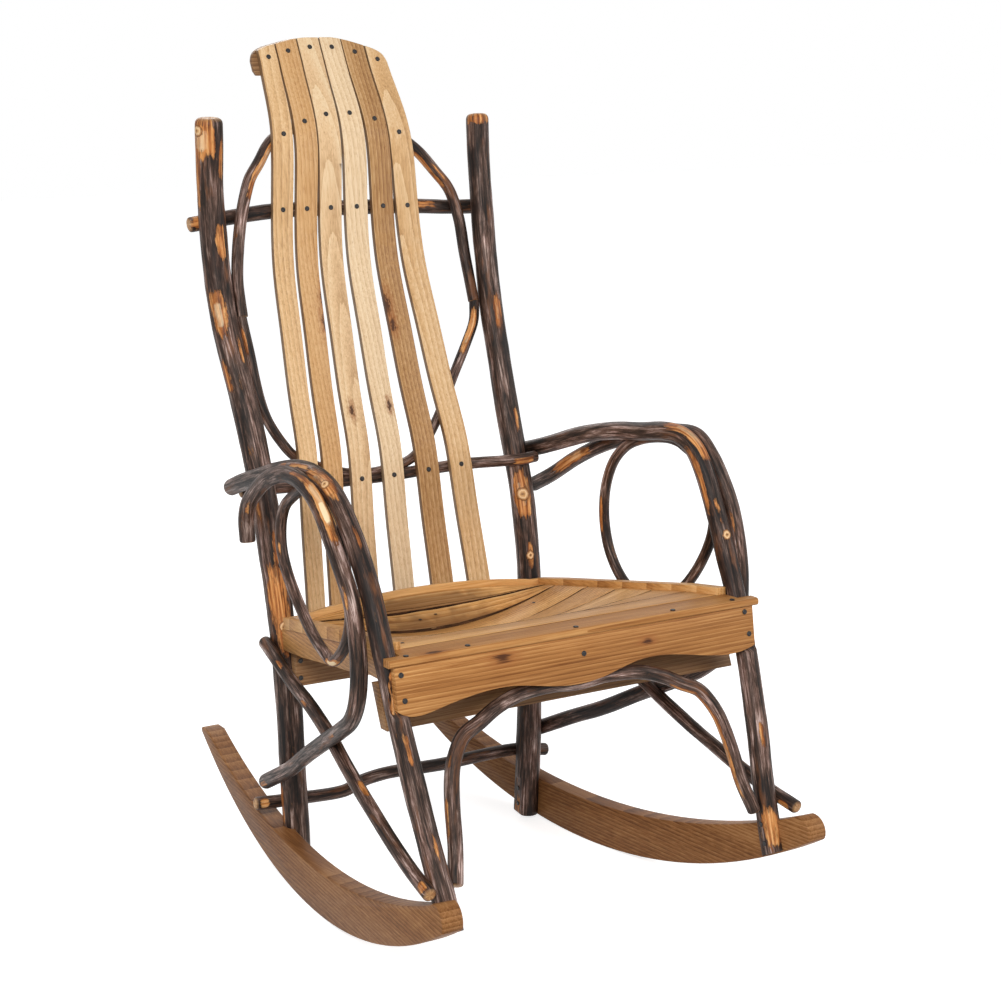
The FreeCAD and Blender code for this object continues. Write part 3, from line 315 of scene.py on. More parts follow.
# bark: stretch along the stick, place, scale, detail, roughness and distortion of each noise
bark_noises = {
    "broad": (0.09, (0, 0, 0), 125.0, 6.0, 0.68, 0.5),
    "fine": (0.05, (0, 0, 0), 560.0, 5.0, 0.7, 0.0),
    "blotch": (0.40, (0, 0, 0), 24.0, 4.0, 0.6, 0.0),
    "warm": (0.16, (3.1, 1.7, 0.4), 70.0, 4.0, 0.6, 0.0),
    "edge": (0.22, (7.3, 0.2, 5.1), 95.0, 6.0, 0.72, 0.0),
    "wood": (0.04, (0.4, 2.2, 1.0), 260.0, 5.0, 0.65, 0.0),
    "stain": (0.35, (1.9, 4.2, 2.2), 60.0, 5.0, 0.7, 0.0),
    "end": (1.0, (0, 0, 0), 190.0, 5.0, 0.6, 0.0),
}
# where each mask starts and ends, and its values there
bark_fades = {
    "warm": (0.58, 0.68, 0.0, 0.8),
    "peeled": (0.46, 0.52),
    "stain": (0.50, 0.62),
    "pale": (0.64, 0.74),
    "rim": (0.50, 0.66, 1.0, 0.0),
    "knot": (0.12, 0.20),
    "gloss": (0.40, 0.60, 0.62, 0.36),
}
bark_tones = ((0.41, (0.005, 0.003, 0.002)), (0.485, (0.036, 0.019, 0.012)),
              (0.55, (0.125, 0.076, 0.059)), (0.635, (0.46, 0.36, 0.32)))
blotch_tones = ((0.38, (0.25, 0.17, 0.13)), (0.50, (0.95, 0.90, 0.87)), (0.62, (1.75, 1.68, 1.72)))
peeled_tones = ((0.38, (0.15, 0.042, 0.010)), (0.47, (0.44, 0.150, 0.038)),
                (0.56, (0.64, 0.280, 0.085)), (0.68, (0.84, 0.48, 0.21)))
knot_tones = ((0.14, (0.020, 0.009, 0.005)), (0.30, (0.40, 0.17, 0.055)),
              (0.52, (0.86, 0.60, 0.34)), (0.70, (0.62, 0.33, 0.13)), (0.92, (0.10, 0.040, 0.016)))
end_tones = ((0.35, (0.30, 0.12, 0.045)), (0.65, (0.74, 0.46, 0.22)))
warm_tone = (0.23, 0.085, 0.030)
stain_tone = (0.11, 0.036, 0.012)
pale_tone = (0.93, 0.72, 0.45)
rim_tone = (0.075, 0.026, 0.010)
broad_share = 0.62
warm_share = 0.6
bare_share = 0.84
bare_ragged = 1.9
stain_share = 0.75
pale_bare_share = 0.5
pale_ragged = 0.2
rim_share = 0.7
knot_ragged = 0.95
bark_shine = 0.24
bark_relief = (0.55, 0.0016)
peeled_relief = (0.6, 0.0008)

# sawn wood: scale, detail, roughness and distortion of each noise
board_noises = {
    "drift": (9.0, 2.0, 0.5),
    "lines": (420.0, 5.0, 0.65, 0.2),
    "broad": (30.0, 3.0, 0.5),
    "pores": (1000.0, 3.0, 0.6),
}
ring_settings = {"Scale": 58.0, "Distortion": 1.3, "Detail": 3.0, "Detail Scale": 1.2,
                 "Detail Roughness": 0.6}
ring_slope = 0.055
fibre_slope = 0.02
ring_bend = 0.10
board_spread = (0.37, 0.71, 0.53)
heart_aside = 0.035
heart_spread = 0.618
heart_range = 0.04
ring_share = 0.17
line_share = 0.48
drift_share = 0.42
wood_stops = (0.36, 0.53, 0.70)
pore_tones = ((0.32, (0.62, 0.48, 0.36)), (0.42, (1.0, 1.0, 1.0)))
pore_share = 0.7
knot_stretch = 0.42
knot_wander = 1.3
halo_fade = (0.35, 0.95, 1.0, 0.0)
halo_share = 0.7
halo_tone = (0.30, 0.105, 0.030)
core_fade = (0.20, 0.42, 1.0, 0.0)
core_share = 0.9
core_tone = (0.045, 0.014, 0.006)
# painted shade on the board faces that face across: the sides of the back slats and the joints
# between the seat boards
side_shade_fade = (0.45, 0.65)
side_shade_tone = (0.085, 0.038, 0.018)
board_rough = 0.48
board_relief = (0.22, 0.0007)

# screws, painted seam shadows and matt surfaces
screw_noise = (700.0, 3.0)
screw_tones = ((0.35, (0.010, 0.010, 0.011)), (0.7, (0.060, 0.055, 0.052)))
screw_rough = 0.45
screw_metal = 0.6
# painted shadow in the seat joints: noise, stretch and tones
seam_noise = (160.0, 4.0)
seam_stretch = (0.2, 1.0, 1.0)
seam_shadow_tones = ((0.35, (0.012, 0.006, 0.003)), (0.65, (0.090, 0.040, 0.018)))
matt_rough = 0.9
matt_shine = 0.1


# places
def at_length(share):
    return share * rocker_length


def at_height(share):
    return share * back_height


def interpolate(pairs, value):
    ordered = sorted(pairs)
    if value <= ordered[0][0]:
        return ordered[0][1]
    for (low, first), (high, second) in zip(ordered, ordered[1:]):
        if value <= high:
            return first + (second - first) * (value - low) / (high - low)
    return ordered[-1][1]


def setback_at(shares, z):
    return interpolate([(at_height(r), at_length(a)) for a, r in shares], z)


def post_half(z):
    return post_foot_half + post_lean_out * z


def post_setback(side, z):
    return setback_at(post_shares[side], z)


def arm_half(y):
    return arm_plane_half - arm_plane_taper * y


def leg_half(y, z):
    upper = arm_half(y)
    if z >= seat_level:
        return upper
    foot = rocker_plane_half - rocker_splay * y - rocker_thick - seat_cut * 3
    drop = min(1.0, (seat_level - z) / (seat_level - at_height(leg_arm_shares[1][0][1])))
    return upper * (1.0 - drop) + foot * drop


def leg_setback(side, z):
    return setback_at(leg_arm_shares[side][:leg_upright_points], z)


def arm_level(side, y):
    return interpolate([(at_length(a), at_height(r))
                        for a, r in leg_arm_shares[side][arm_first_point:]], y)


def outer_half(y, z):
    beside = arm_half(y) + (leg_arm_dia + outer_arm_dia) / 2 - seat_cut / 4
    if z >= seat_level:
        return beside
    post_side = post_half(at_height(post_shares[1][1][1])) + (post_dia + outer_arm_dia) / 2
    bend = at_length(outer_arm_shares[1][sweep_front_point][0])
    run = (post_setback(1, z) - y) / (post_setback(1, z) - bend)
    bowed = run + sweep_bow * run * (1.0 - run)
    sweep = post_side - seat_cut + (beside - post_side) * bowed
    drop = min(1.0, (seat_level - z) / (post_dia * 2))
    return beside * (1.0 - drop) + sweep * drop


def brace_half(y):
    rear_z = at_height(brace_shares[0][1])
    rear = (post_setback(1, rear_z), post_half(rear_z) + (post_dia + brace_dia) / 2 - seat_cut)
    front_y, front_z = at_length(brace_shares[-1][0]), at_height(brace_shares[-1][1])
    front = (front_y, leg_half(front_y, front_z) + (leg_foot_dia + brace_dia) / 2 - seat_cut)
    return front[1] + (rear[1] - front[1]) / (rear[0] - front[0]) * (y - front[0])


def back_face(z):
    return setback_at(back_face_shares, z)


def behind_slats(z, dia):
    step = rocker_thick
    slope = (back_face(z + step) - back_face(z - step)) / (2 * step)
    return back_face(z) + (slat_thick + dia / 2 - seat_cut / 2) * math.sqrt(1 + slope * slope)


def side_points(side, shares, half_at):
    return [Vector((side * half_at(at_length(a), at_height(r)), at_length(a), at_height(r)))
            for a, r in shares]


def cross_points(shares, dia):
    points = []
    for across, along, rise in shares:
        z = at_height(rise)
        y = behind_slats(z, dia) if along is None else at_length(along)
        points.append(Vector((across * post_half(z), y, z)))
    return points


def loop_points(side):
    ends = [at_length(shares[side]) for shares in (loop_start_shares, loop_end_shares)]
    first, last = [Vector((side * arm_half(y), y, arm_level(side, y))) for y in ends]
    middle = side_points(side, loop_shares[side], lambda y, z: arm_half(y) + loop_lane)
    return [first] + middle + [last]


def hoop_points():
    runs = []
    for side in (-1, 1):
        run = []
        for across, rise in hoop_shares:
            z = at_height(rise)
            y = at_length(hoop_plane_share) + hoop_lean * z
            x = across * arm_plane_half
            if not run:
                y = (y + leg_setback(side, z)) / 2
                x = leg_half(y, z) - (leg_foot_dia + hoop_foot_dia) / 2 + seat_cut
            run.append(Vector((side * x, y, z)))
        runs.append(run)
    return runs[0][:-1] + runs[1][::-1]


def hoop_end(side, dia):
    z = at_height(hoop_meeting_share)
    middle = (post_setback(-1, z) + post_setback(1, z)) / 2
    x = post_half(z) - (post_dia + dia) / 2 + seat_cut
    return Vector((side * x, (post_setback(side, z) + middle) / 2, z))


def stretcher_points():
    points = []
    for across, rise in stretcher_shares:
        z = at_height(rise)
        mix = (across + 1.0) / 2
        setback = post_setback(-1, z) * (1 - mix) + post_setback(1, z) * mix
        y = setback + (post_dia + stretcher_dia) / 2 - seat_cut * 2
        points.append(Vector((across * post_half(z), y, z)))
    return points


# shader helpers
class Nodes:
    """Short calls for building a node tree."""

    def __init__(self, name):
        self.material = bpy.data.materials.new(name)
        self.material.use_nodes = True
        self.tree = self.material.node_tree
        self.tree.nodes.clear()
        self.out = self.add("ShaderNodeOutputMaterial")
        self.shader = self.add("ShaderNodeBsdfPrincipled")
        self.link(self.shader.outputs[0], self.out.inputs[0])

    def add(self, kind, **settings):
        node = self.tree.nodes.new(kind)
        for key, value in settings.items():
            setattr(node, key, value)
        return node

    def link(self, source, target):
        self.tree.links.new(source, target)

    def attribute(self, name):
        return self.add("ShaderNodeAttribute", attribute_name=name)

    def mapping(self, source, scale, place=(0, 0, 0)):
        node = self.add("ShaderNodeMapping")
        self.link(source, node.inputs[0])
        node.inputs["Location"].default_value = place
        node.inputs["Scale"].default_value = scale
        return node.outputs[0]

    def noise(self, source, scale, detail=4.0, rough=0.6, distortion=0.0):
        node = self.add("ShaderNodeTexNoise")
        self.link(source, node.inputs["Vector"])
        node.inputs["Scale"].default_value = scale
        node.inputs["Detail"].default_value = detail
        node.inputs["Roughness"].default_value = rough
        node.inputs["Distortion"].default_value = distortion
        return node.outputs["Fac"]

    def ramp(self, source, stops):
        node = self.add("ShaderNodeValToRGB")
        elements = node.color_ramp.elements
        while len(elements) < len(stops):
            elements.new(0.5)
        for element, (place, colour) in zip(elements, stops):
            element.position = place
            element.color = (*colour, 1.0)
        self.link(source, node.inputs[0])
        return node.outputs[0]

    def math(self, operation, first, second=None, clamp=False):
        node = self.add("ShaderNodeMath", operation=operation, use_clamp=clamp)
        for index, value in enumerate((first, second)):
            if value is None:
                continue
            if isinstance(value, (int, float)):
                node.inputs[index].default_value = value
            else:
                self.link(value, node.inputs[index])
        return node.outputs[0]

    def mix(self, share, first, second, blend="MIX"):
        node = self.add("ShaderNodeMix", data_type="RGBA", blend_type=blend)
        for index, value in ((0, share), (6, first), (7, second)):
            if isinstance(value, (int, float)):
                node.inputs[index].default_value = value
            elif isinstance(value, tuple):
                node.inputs[index].default_value = (*value, 1.0)
            else:
                self.link(value, node.inputs[index])
        return node.outputs[2]

    def times(self, value, factor):
        return self.math("MULTIPLY", value, factor)

    def centred(self, value, factor):
        return self.times(self.math("SUBTRACT", value, 0.5), factor)

    def fade(self, source, low, high, first=0.0, last=1.0):
        return self.ramp(source, [(low, (first,) * 3), (high, (last,) * 3)])

    def bump(self, height, strength, distance, below=None):
        node = self.add("ShaderNodeBump")
        node.inputs["Strength"].default_value = strength
        node.inputs["Distance"].default_value = distance
        self.link(height, node.inputs["Height"])
        if below is not None:
            self.link(below, node.inputs["Normal"])
        return node.outputs[0]


def bark_material():
    """Dark bark with lengthwise streaks. bare marks peeled wood, knot knots and cut ends."""
    n = Nodes("bark")
    grain = n.attribute("grain").outputs["Vector"]
    bare, knot, cut = [n.attribute(key).outputs["Fac"] for key in ("bare", "knot", "cut")]

    def marks(key):
        stretch, place, scale, detail, rough, distortion = bark_noises[key]
        return n.noise(n.mapping(grain, (1.0, 1.0, stretch), place), scale, detail, rough,
                       distortion)

    def fade(source, key):
        return n.fade(source, *bark_fades[key])

    streak = n.math("ADD", n.times(marks("broad"), broad_share),
                    n.times(marks("fine"), 1 - broad_share))
    bark = n.mix(1.0, n.ramp(streak, bark_tones), n.ramp(marks("blotch"), blotch_tones), "MULTIPLY")
    bark = n.mix(n.times(fade(marks("warm"), "warm"), warm_share), bark, warm_tone)
    ragged = marks("edge")
    level = n.math("ADD", n.times(bare, bare_share), n.centred(ragged, bare_ragged))
    peeled = fade(level, "peeled")
    wood = n.ramp(marks("wood"), peeled_tones)
    wood = n.mix(n.times(fade(marks("stain"), "stain"), stain_share), wood, stain_tone)
    pale = n.math("ADD", n.times(bare, pale_bare_share), n.times(ragged, pale_ragged))
    wood = n.mix(fade(pale, "pale"), wood, pale_tone)
    wood = n.mix(n.times(fade(level, "rim"), rim_share), wood, rim_tone)
    colour = n.mix(peeled, bark, wood)
    around = n.math("ADD", knot, n.centred(ragged, knot_ragged))
    colour = n.mix(fade(around, "knot"), colour, n.ramp(around, knot_tones))
    colour = n.mix(cut, colour, n.ramp(marks("end"), end_tones))
    n.link(colour, n.shader.inputs["Base Color"])
    n.link(fade(streak, "gloss"), n.shader.inputs["Roughness"])
    n.shader.inputs["Specular IOR Level"].default_value = bark_shine
    rough = n.bump(streak, *bark_relief)
    step = n.bump(n.times(peeled, -1.0), *peeled_relief, rough)
    n.link(step, n.shader.inputs["Normal"])
    return n.material


def board_material(name, dark, middle, light, along, face, seed, pith=0.03, knots=(),
                   side_shade=1.0, shine=0.25):
    """Sawn wood cut from a virtual trunk. along is the axis that the grain follows, face the axis
    square to the board's face, pith how far the heart lies behind the face, knots are
    (x, y, z, radius) and side_shade darkens the edges that face across with painted shade."""
    n = Nodes(name)
    coords = n.add("ShaderNodeTexCoord").outputs["Object"]
    flow = tuple(ring_slope if axis == along else 0.0 if axis == face else 1.0 for axis in "XYZ")
    fibre = tuple(fibre_slope if axis == along else 1.0 for axis in "XYZ")
    squeeze = tuple(knot_stretch if axis == along else 0.0 if axis == face else 1.0
                    for axis in "XYZ")
    place = tuple(seed * share for share in board_spread)
    aside = heart_aside + seed * heart_spread % heart_range
    aside *= 1 if int(seed * 10) % 2 else -1
    heart = tuple(pith if axis == face else aside if axis not in (along, face) else 0.0
                  for axis in "XYZ")

    def grained(key, scales):
        return n.noise(n.mapping(coords, scales, place), *board_noises[key])

    bend = n.centred(grained("drift", tuple(v / 2 for v in flow)), ring_bend)
    shifted = n.add("ShaderNodeVectorMath", operation="ADD")
    pull = n.add("ShaderNodeCombineXYZ")
    for index, axis in enumerate("XYZ"):
        if axis != along:
            n.link(bend, pull.inputs[index])
    n.link(n.mapping(coords, flow, heart), shifted.inputs[0])
    n.link(pull.outputs[0], shifted.inputs[1])
    wave = n.add("ShaderNodeTexWave", wave_type="RINGS", rings_direction="SPHERICAL",
                 wave_profile="SAW")
    n.link(shifted.outputs[0], wave.inputs["Vector"])
    for key, value in ring_settings.items():
        wave.inputs[key].default_value = value
    lines = grained("lines", fibre)
    tone = n.math("ADD", n.times(wave.outputs["Fac"], ring_share), n.times(lines, line_share))
    tone = n.math("ADD", tone, n.times(grained("broad", flow), drift_share))
    colour = n.ramp(tone, list(zip(wood_stops, (dark, middle, light))))
    dots = n.ramp(grained("pores", fibre), pore_tones)
    colour = n.mix(pore_share, colour, dots, "MULTIPLY")
    for x, y, z, radius in knots:
        spot = n.mapping(coords, squeeze, tuple(-c * s for c, s in zip((x, y, z), squeeze)))
        far = n.add("ShaderNodeVectorMath", operation="LENGTH")
        n.link(spot, far.inputs[0])
        wide = n.math("ADD", far.outputs["Value"], n.centred(lines, radius * knot_wander))
        shape = n.math("DIVIDE", wide, radius, True)
        for fade, share, shade in ((halo_fade, halo_share, halo_tone),
                                   (core_fade, core_share, core_tone)):
            colour = n.mix(n.times(n.fade(shape, *fade), share), colour, shade)
    # painted shade: faces whose normal points across the board are darkened
    normal = n.add("ShaderNodeSeparateXYZ")
    n.link(n.add("ShaderNodeTexCoord").outputs["Normal"], normal.inputs[0])
    across = next(axis for axis in "XYZ" if axis not in (along, face))
    edge = n.fade(n.math("ABSOLUTE", normal.outputs[across]), *side_shade_fade)
    colour = n.mix(n.times(edge, 1.0 - side_shade), colour, side_shade_tone)
    n.link(colour, n.shader.inputs["Base Color"])
    n.shader.inputs["Roughness"].default_value = board_rough
    n.shader.inputs["Specular IOR Level"].default_value = shine
    n.link(n.bump(tone, *board_relief), n.shader.inputs["Normal"])
    return n.material


def screw_material():
    """Black coated steel."""
    n = Nodes("screw_black")
    coords = n.add("ShaderNodeTexCoord").outputs["Object"]
    n.link(n.ramp(n.noise(coords, *screw_noise), screw_tones), n.shader.inputs["Base Color"])
    n.shader.inputs["Roughness"].default_value = screw_rough
    n.shader.inputs["Metallic"].default_value = screw_metal
    return n.material


def new_piece(name, mesh, material):
    """Object in the scene that shows a mesh in one material."""
    mesh.materials.append(material)
    piece = bpy.data.objects.new(name, mesh)
    bpy.context.scene.collection.objects.link(piece)
    return piece


# sticks
def smooth_path(points):
    """Evenly spaced places on a smooth curve through the points."""
    padded = [points[0] * 2 - points[1]] + list(points) + [points[-1] * 2 - points[-2]]
    dense = []
    for index in range(1, len(padded) - 2):
        a, b, c, d = padded[index - 1:index + 3]
        ta = (b - a).length ** 0.5 or tiny
        tb = (c - b).length ** 0.5 or tiny
        tc = (d - c).length ** 0.5 or tiny
        for part in range(curve_parts):
            t = ta + tb * part / curve_parts
            a1 = a * ((ta - t) / ta) + b * (t / ta)
            a2 = b * ((ta + tb - t) / tb) + c * ((t - ta) / tb)
            a3 = c * ((ta + tb + tc - t) / tc) + d * ((t - ta - tb) / tc)
            b1 = a1 * ((ta + tb - t) / (ta + tb)) + a2 * (t / (ta + tb))
            b2 = a2 * ((ta + tb + tc - t) / (tb + tc)) + a3 * ((t - ta) / (tb + tc))
            dense.append(b1 * ((ta + tb - t) / tb) + b2 * ((t - ta) / tb))
    dense.append(points[-1].copy())
    lengths = [0.0]
    for first, second in zip(dense, dense[1:]):
        lengths.append(lengths[-1] + (second - first).length)
    total = lengths[-1]
    count = max(least_places, round(total / stick_step))
    places, cursor = [], 0
    for index in range(count + 1):
        target = total * index / count
        while cursor < len(lengths) - 2 and lengths[cursor + 1] < target:
            cursor += 1
        span = lengths[cursor + 1] - lengths[cursor] or tiny
        places.append(dense[cursor].lerp(dense[cursor + 1], (target - lengths[cursor]) / span))
    return places, total


def to_rolling_line(point, along):
    """How far a point moves along a direction to meet the line that the feet are cut on."""
    reach = rocker_radius - foot_clearance
    y, z = point.y - balance_setback, point.z - rocker_radius
    square = along.y ** 2 + along.z ** 2
    half = (y * along.y + z * along.z) / square
    rest = (y * y + z * z - reach * reach) / square
    return -half - math.sqrt(max(0.0, half * half - rest))


def trim_foot(places):
    """Drop the start of a path that lies below the line that the feet are cut on."""
    reach = rocker_radius - foot_clearance
    first = 0
    while math.hypot(places[first].y - balance_setback, places[first].z - rocker_radius) > reach:
        first += 1
    run = (places[first + 1] - places[first]).normalized()
    start = places[first] + run * to_rolling_line(places[first], run)
    return [start] + places[first + 1:]


def patch_value(marks, share, angle):
    """How far the bark is gone at a place on a stick."""
    value = 0.0
    for middle, half, turn, width, strength in marks:
        gap_a = abs((angle - turn + 180) % 360 - 180) / width
        gap_s = abs(share - middle) / half
        spread = max(gap_a, gap_s) * patch_square_share
        spread += math.hypot(gap_a, gap_s) * (1 - patch_square_share)
        value = max(value, strength * max(0.0, min(1.0, patch_core - spread)))
    return value


def knot_value(marks, share, total, angle, radius):
    """Nearness to the middle of a knot, and how far it swells the stick."""
    near, swell = 0.0, 0.0
    for place, turn, size in marks:
        gap_a = math.radians((angle - turn + 180) % 360 - 180) * radius
        far = math.hypot((share - place) * total, gap_a) / size
        near = max(near, 1.0 - far)
        swell = max(swell, size * knot_swell_share * math.exp(-far * far * knot_swell_fall))
    return max(0.0, near), swell


def stick_ring(place, axes, radius, distance, cut):
    return {"place": place, "axes": axes, "radius": radius, "distance": distance, "cut": cut}


def stick_rings(places, total, dia_start, dia_end, seed, lumps):
    """Rings along a path, turned so that angle 0 faces the side that the photo shows."""
    rings = []
    last = len(places) - 1
    for index, place in enumerate(places):
        ahead = (places[min(last, index + 1)] - places[max(0, index - 1)]).normalized()
        across = (shown_side - ahead * shown_side.dot(ahead)).normalized()
        distance = total * index / last
        radius = (dia_start + (dia_end - dia_start) * index / last) / 2
        wave = Vector((seed * seed_spread[2], distance * lump_along_wave, 0))
        radius *= 1 + lumps * lump_along_share * noise.noise(wave)
        rings.append(stick_ring(place, (across, ahead.cross(across)), radius, distance, 0.0))
    return rings


def stick_cap(ring, outward, rounding):
    """Rings that close a stick's end: a rounded rim, then the cut face."""
    cap = []
    for step in range(1, cap_steps + 1):
        turn = math.pi / 2 * step / cap_steps
        cap.append(stick_ring(ring["place"] + outward * (rounding * math.sin(turn)), ring["axes"],
                              ring["radius"] - rounding * (1 - math.cos(turn)),
                              ring["distance"], (step - 1) / cap_steps))
    rim = cap[-1]
    for share in cap_face_shares:
        cap.append(stick_ring(rim["place"], rim["axes"], rim["radius"] * share,
                              rim["distance"], 1.0))
    return cap


def stick(name, node, points, dia_start, dia_end, seed, rounds=(0.001, 0.001), foot=False,
          trim=None, lumps=0.05):
    """Round branch along a path. rounds are the radii of its two ends, and trim moves the points
    that the CAD cuts away."""
    places, total = smooth_path(points)
    if foot:
        places = trim_foot(places)
        total = sum((b - a).length for a, b in zip(places, places[1:]))
    patches = stick_patches.get(name, ())
    knots = stick_knots.get(name, ())
    rings = stick_rings(places, total, dia_start, dia_end, seed, lumps)
    head = stick_cap(rings[0], (places[0] - places[1]).normalized(), rounds[0])
    tail = stick_cap(rings[-1], (places[-1] - places[-2]).normalized(), rounds[1])
    full = rings + tail if foot else head[::-1] + rings + tail
    vertices, grain, bare, knot_mark, cut_mark = [], [], [], [], []
    offset = Vector((seed * seed_spread[0], seed * seed_spread[1], 0))
    mean = (dia_start + dia_end) / 4
    for item in full:
        axis_a, axis_b = item["axes"]
        distance = item["distance"]
        for k in range(stick_sides):
            angle = 2 * math.pi * k / stick_sides
            around = Vector((math.cos(angle), math.sin(angle), 0))
            wobble = sum(strength * noise.noise(offset + around * across
                                                + Vector((0, 0, distance * along)))
                         for strength, across, along in lump_waves)
            near, swell = knot_value(knots, distance / total, total, math.degrees(angle), mean)
            value = patch_value(patches, distance / total, math.degrees(angle))
            r = item["radius"] * (1 + lumps * lump_around_share * wobble)
            r += swell * item["radius"] / mean
            point = item["place"] + axis_a * (around.x * r) + axis_b * (around.y * r)
            if foot and distance < 2 * dia_start:
                along = axis_a.cross(axis_b)
                level = point - along * along.dot(point - places[0])
                shift = to_rolling_line(level, along)
                point += along * (shift * (1 - distance / (2 * dia_start)))
            if trim:
                trimmed = trim(point)
                if (trimmed - point).length > seat_cut / 4:
                    value = max(value, trimmed_bare)
                point = trimmed
            vertices.append(point)
            grain.append(around * mean + Vector((0, 0, distance)) + offset)
            bare.append(value)
            knot_mark.append(near)
            cut_mark.append(item["cut"])
    mesh = bpy.data.meshes.new(name)
    faces = []
    for row in range(len(full) - 1):
        for k in range(stick_sides):
            a = row * stick_sides + k
            b = row * stick_sides + (k + 1) % stick_sides
            faces.append((a, b, b + stick_sides, a + stick_sides))
    faces.append(tuple(reversed(range(stick_sides))))
    faces.append(tuple((len(full) - 1) * stick_sides + k for k in range(stick_sides)))
    mesh.from_pydata([tuple(v) for v in vertices], [], faces)
    layer = mesh.attributes.new("grain", "FLOAT_VECTOR", "POINT")
    layer.data.foreach_set("vector", [c for v in grain for c in v])
    for key, values in (("bare", bare), ("knot", knot_mark), ("cut", cut_mark)):
        mesh.attributes.new(key, "FLOAT", "POINT").data.foreach_set("value", values)
    mesh.update()
    bm = bmesh.new()
    bm.from_mesh(mesh)
    bmesh.ops.recalc_face_normals(bm, faces=bm.faces)
    bm.to_mesh(mesh)
    bm.free()
    for polygon in mesh.polygons:
        polygon.use_smooth = True
    piece = new_piece(name, mesh, bark)
    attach(piece, "root")
    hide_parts(node)


# boards
def board(name, node, material, soften=board_soften):
    """A CAD board with its long edges softened, carrying its own wood."""
    source = frame["nodes"][node]
    mesh = source.data.copy()
    mesh.name = name
    bm = bmesh.new()
    bm.from_mesh(mesh)
    bmesh.ops.remove_doubles(bm, verts=bm.verts, dist=weld_gap)
    bmesh.ops.dissolve_limit(bm, angle_limit=flat_turn, verts=bm.verts, edges=bm.edges)
    bm.to_mesh(mesh)
    bm.free()
    mesh.materials.clear()
    piece = new_piece(name, mesh, material)
    bevel = piece.modifiers.new("soften", "BEVEL")
    bevel.width = soften
    bevel.segments = 2
    bevel.limit_method = "ANGLE"
    bevel.angle_limit = soften_turn
    bpy.context.view_layer.objects.active = piece
    for polygon in mesh.polygons:
        polygon.use_smooth = True
    with bpy.context.temp_override(object=piece, active_object=piece, selected_objects=[piece],
                                   selected_editable_objects=[piece]):
        bpy.ops.object.modifier_apply(modifier=bevel.name)
        bpy.ops.object.shade_smooth_by_angle(angle=smooth_turn)
    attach(piece, "root")
    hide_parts(node)


def apron_middle(z):
    """Setback of the plane half way into the apron, where the legs are cut back."""
    return at_length(apron_face_share) - apron_lean * (seat_level - z) + apron_thick / 2


def keep_outside(side, point, half, top):
    """Move a point out to the planed flat on the inner side of a foot."""
    if point.z < top and side * point.x < half:
        return Vector((side * half, point.y, point.z))
    return point


def post_trim(side):
    low = at_height(foot_rise_shares[0])
    half = post_half(low) - post_dia / 2 + foot_flat_deep
    return lambda point: keep_outside(side, point, half, low + foot_flat_high)


def leg_trim(side):
    low = at_height(foot_rise_shares[1])
    half = leg_half(leg_setback(1, low), low) - leg_foot_dia / 2 + foot_flat_deep

    def trim(point):
        if at_height(apron_low_share) < point.z < seat_level:
            return Vector((point.x, max(point.y, apron_middle(point.z)), point.z))
        return keep_outside(side, point, half, low + foot_flat_high)

    return trim


def seam_material():
    """Painted shadow in the gaps between the seat boards."""
    n = Nodes("seam_painted_shadow")
    coords = n.add("ShaderNodeTexCoord").outputs["Object"]
    colour = n.ramp(n.noise(n.mapping(coords, seam_stretch), *seam_noise), seam_shadow_tones)
    n.link(colour, n.shader.inputs["Base Color"])
    n.shader.inputs["Roughness"].default_value = matt_rough
    n.shader.inputs["Specular IOR Level"].default_value = matt_shine
    return n.material


def seat_tree(number):
    mesh = frame["nodes"]["seat_slat_" + str(number)].data
    return BVHTree.FromPolygons([v.co for v in mesh.vertices],
                                [p.vertices for p in mesh.polygons])


def drop_onto(tree, x, y):
    """Place just above a board's top at a spot in plan, or None beside the board."""
    spot = tree.ray_cast(Vector((x, y, back_height)), Vector((0, 0, -1)))[0]
    return None if spot is None else spot + Vector((0, 0, seat_cut / 8))


def seam(number, y, half, material):
    """Thin strip of painted shadow over the joint in front of a seat board, ragged as a real gap.
    """
    front, rear = seat_tree(number), seat_tree(number + 1)
    rows = []
    for step in range(seam_steps + 1):
        x = seat_half * (2 * step / seam_steps - 1)
        ragged = noise.noise(Vector((x * seam_wave, number * seam_seed, 0)))
        wide = half * (1 + seam_ragged_share * ragged)
        row = (drop_onto(front, x, y - wide), drop_onto(rear, x, y + wide))
        if None not in row:
            rows.append(row)
    faces = [(2 * k, 2 * k + 2, 2 * k + 3, 2 * k + 1) for k in range(len(rows) - 1)]
    mesh = bpy.data.meshes.new("seam_" + str(number))
    mesh.from_pydata([tuple(spot) for row in rows for spot in row], [], faces)
    piece = new_piece(mesh.name, mesh, material)
    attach(piece, "root")


def nail(index, number, x, y, material):
    """Low domed nail head on a seat board."""
    middle = drop_onto(seat_tree(number), x, y)
    spots, faces = [middle + Vector((0, 0, nail_high))], []
    for share, rise in nail_ring_shares:
        for k in range(nail_sides):
            turn = math.tau * k / nail_sides
            spots.append(middle + Vector((math.cos(turn) * share, math.sin(turn) * share, 0))
                         * nail_radius + Vector((0, 0, nail_high * rise)))
    for k in range(nail_sides):
        inner, outer = 1 + k, 1 + k + nail_sides
        turned = (k + 1) % nail_sides - k
        faces.append((0, inner, inner + turned))
        faces.append((inner, outer, outer + turned, inner + turned))
    mesh = bpy.data.meshes.new("nail_" + str(index))
    mesh.from_pydata([tuple(spot) for spot in spots], [], faces)
    piece = new_piece(mesh.name, mesh, material)
    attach(piece, "root")


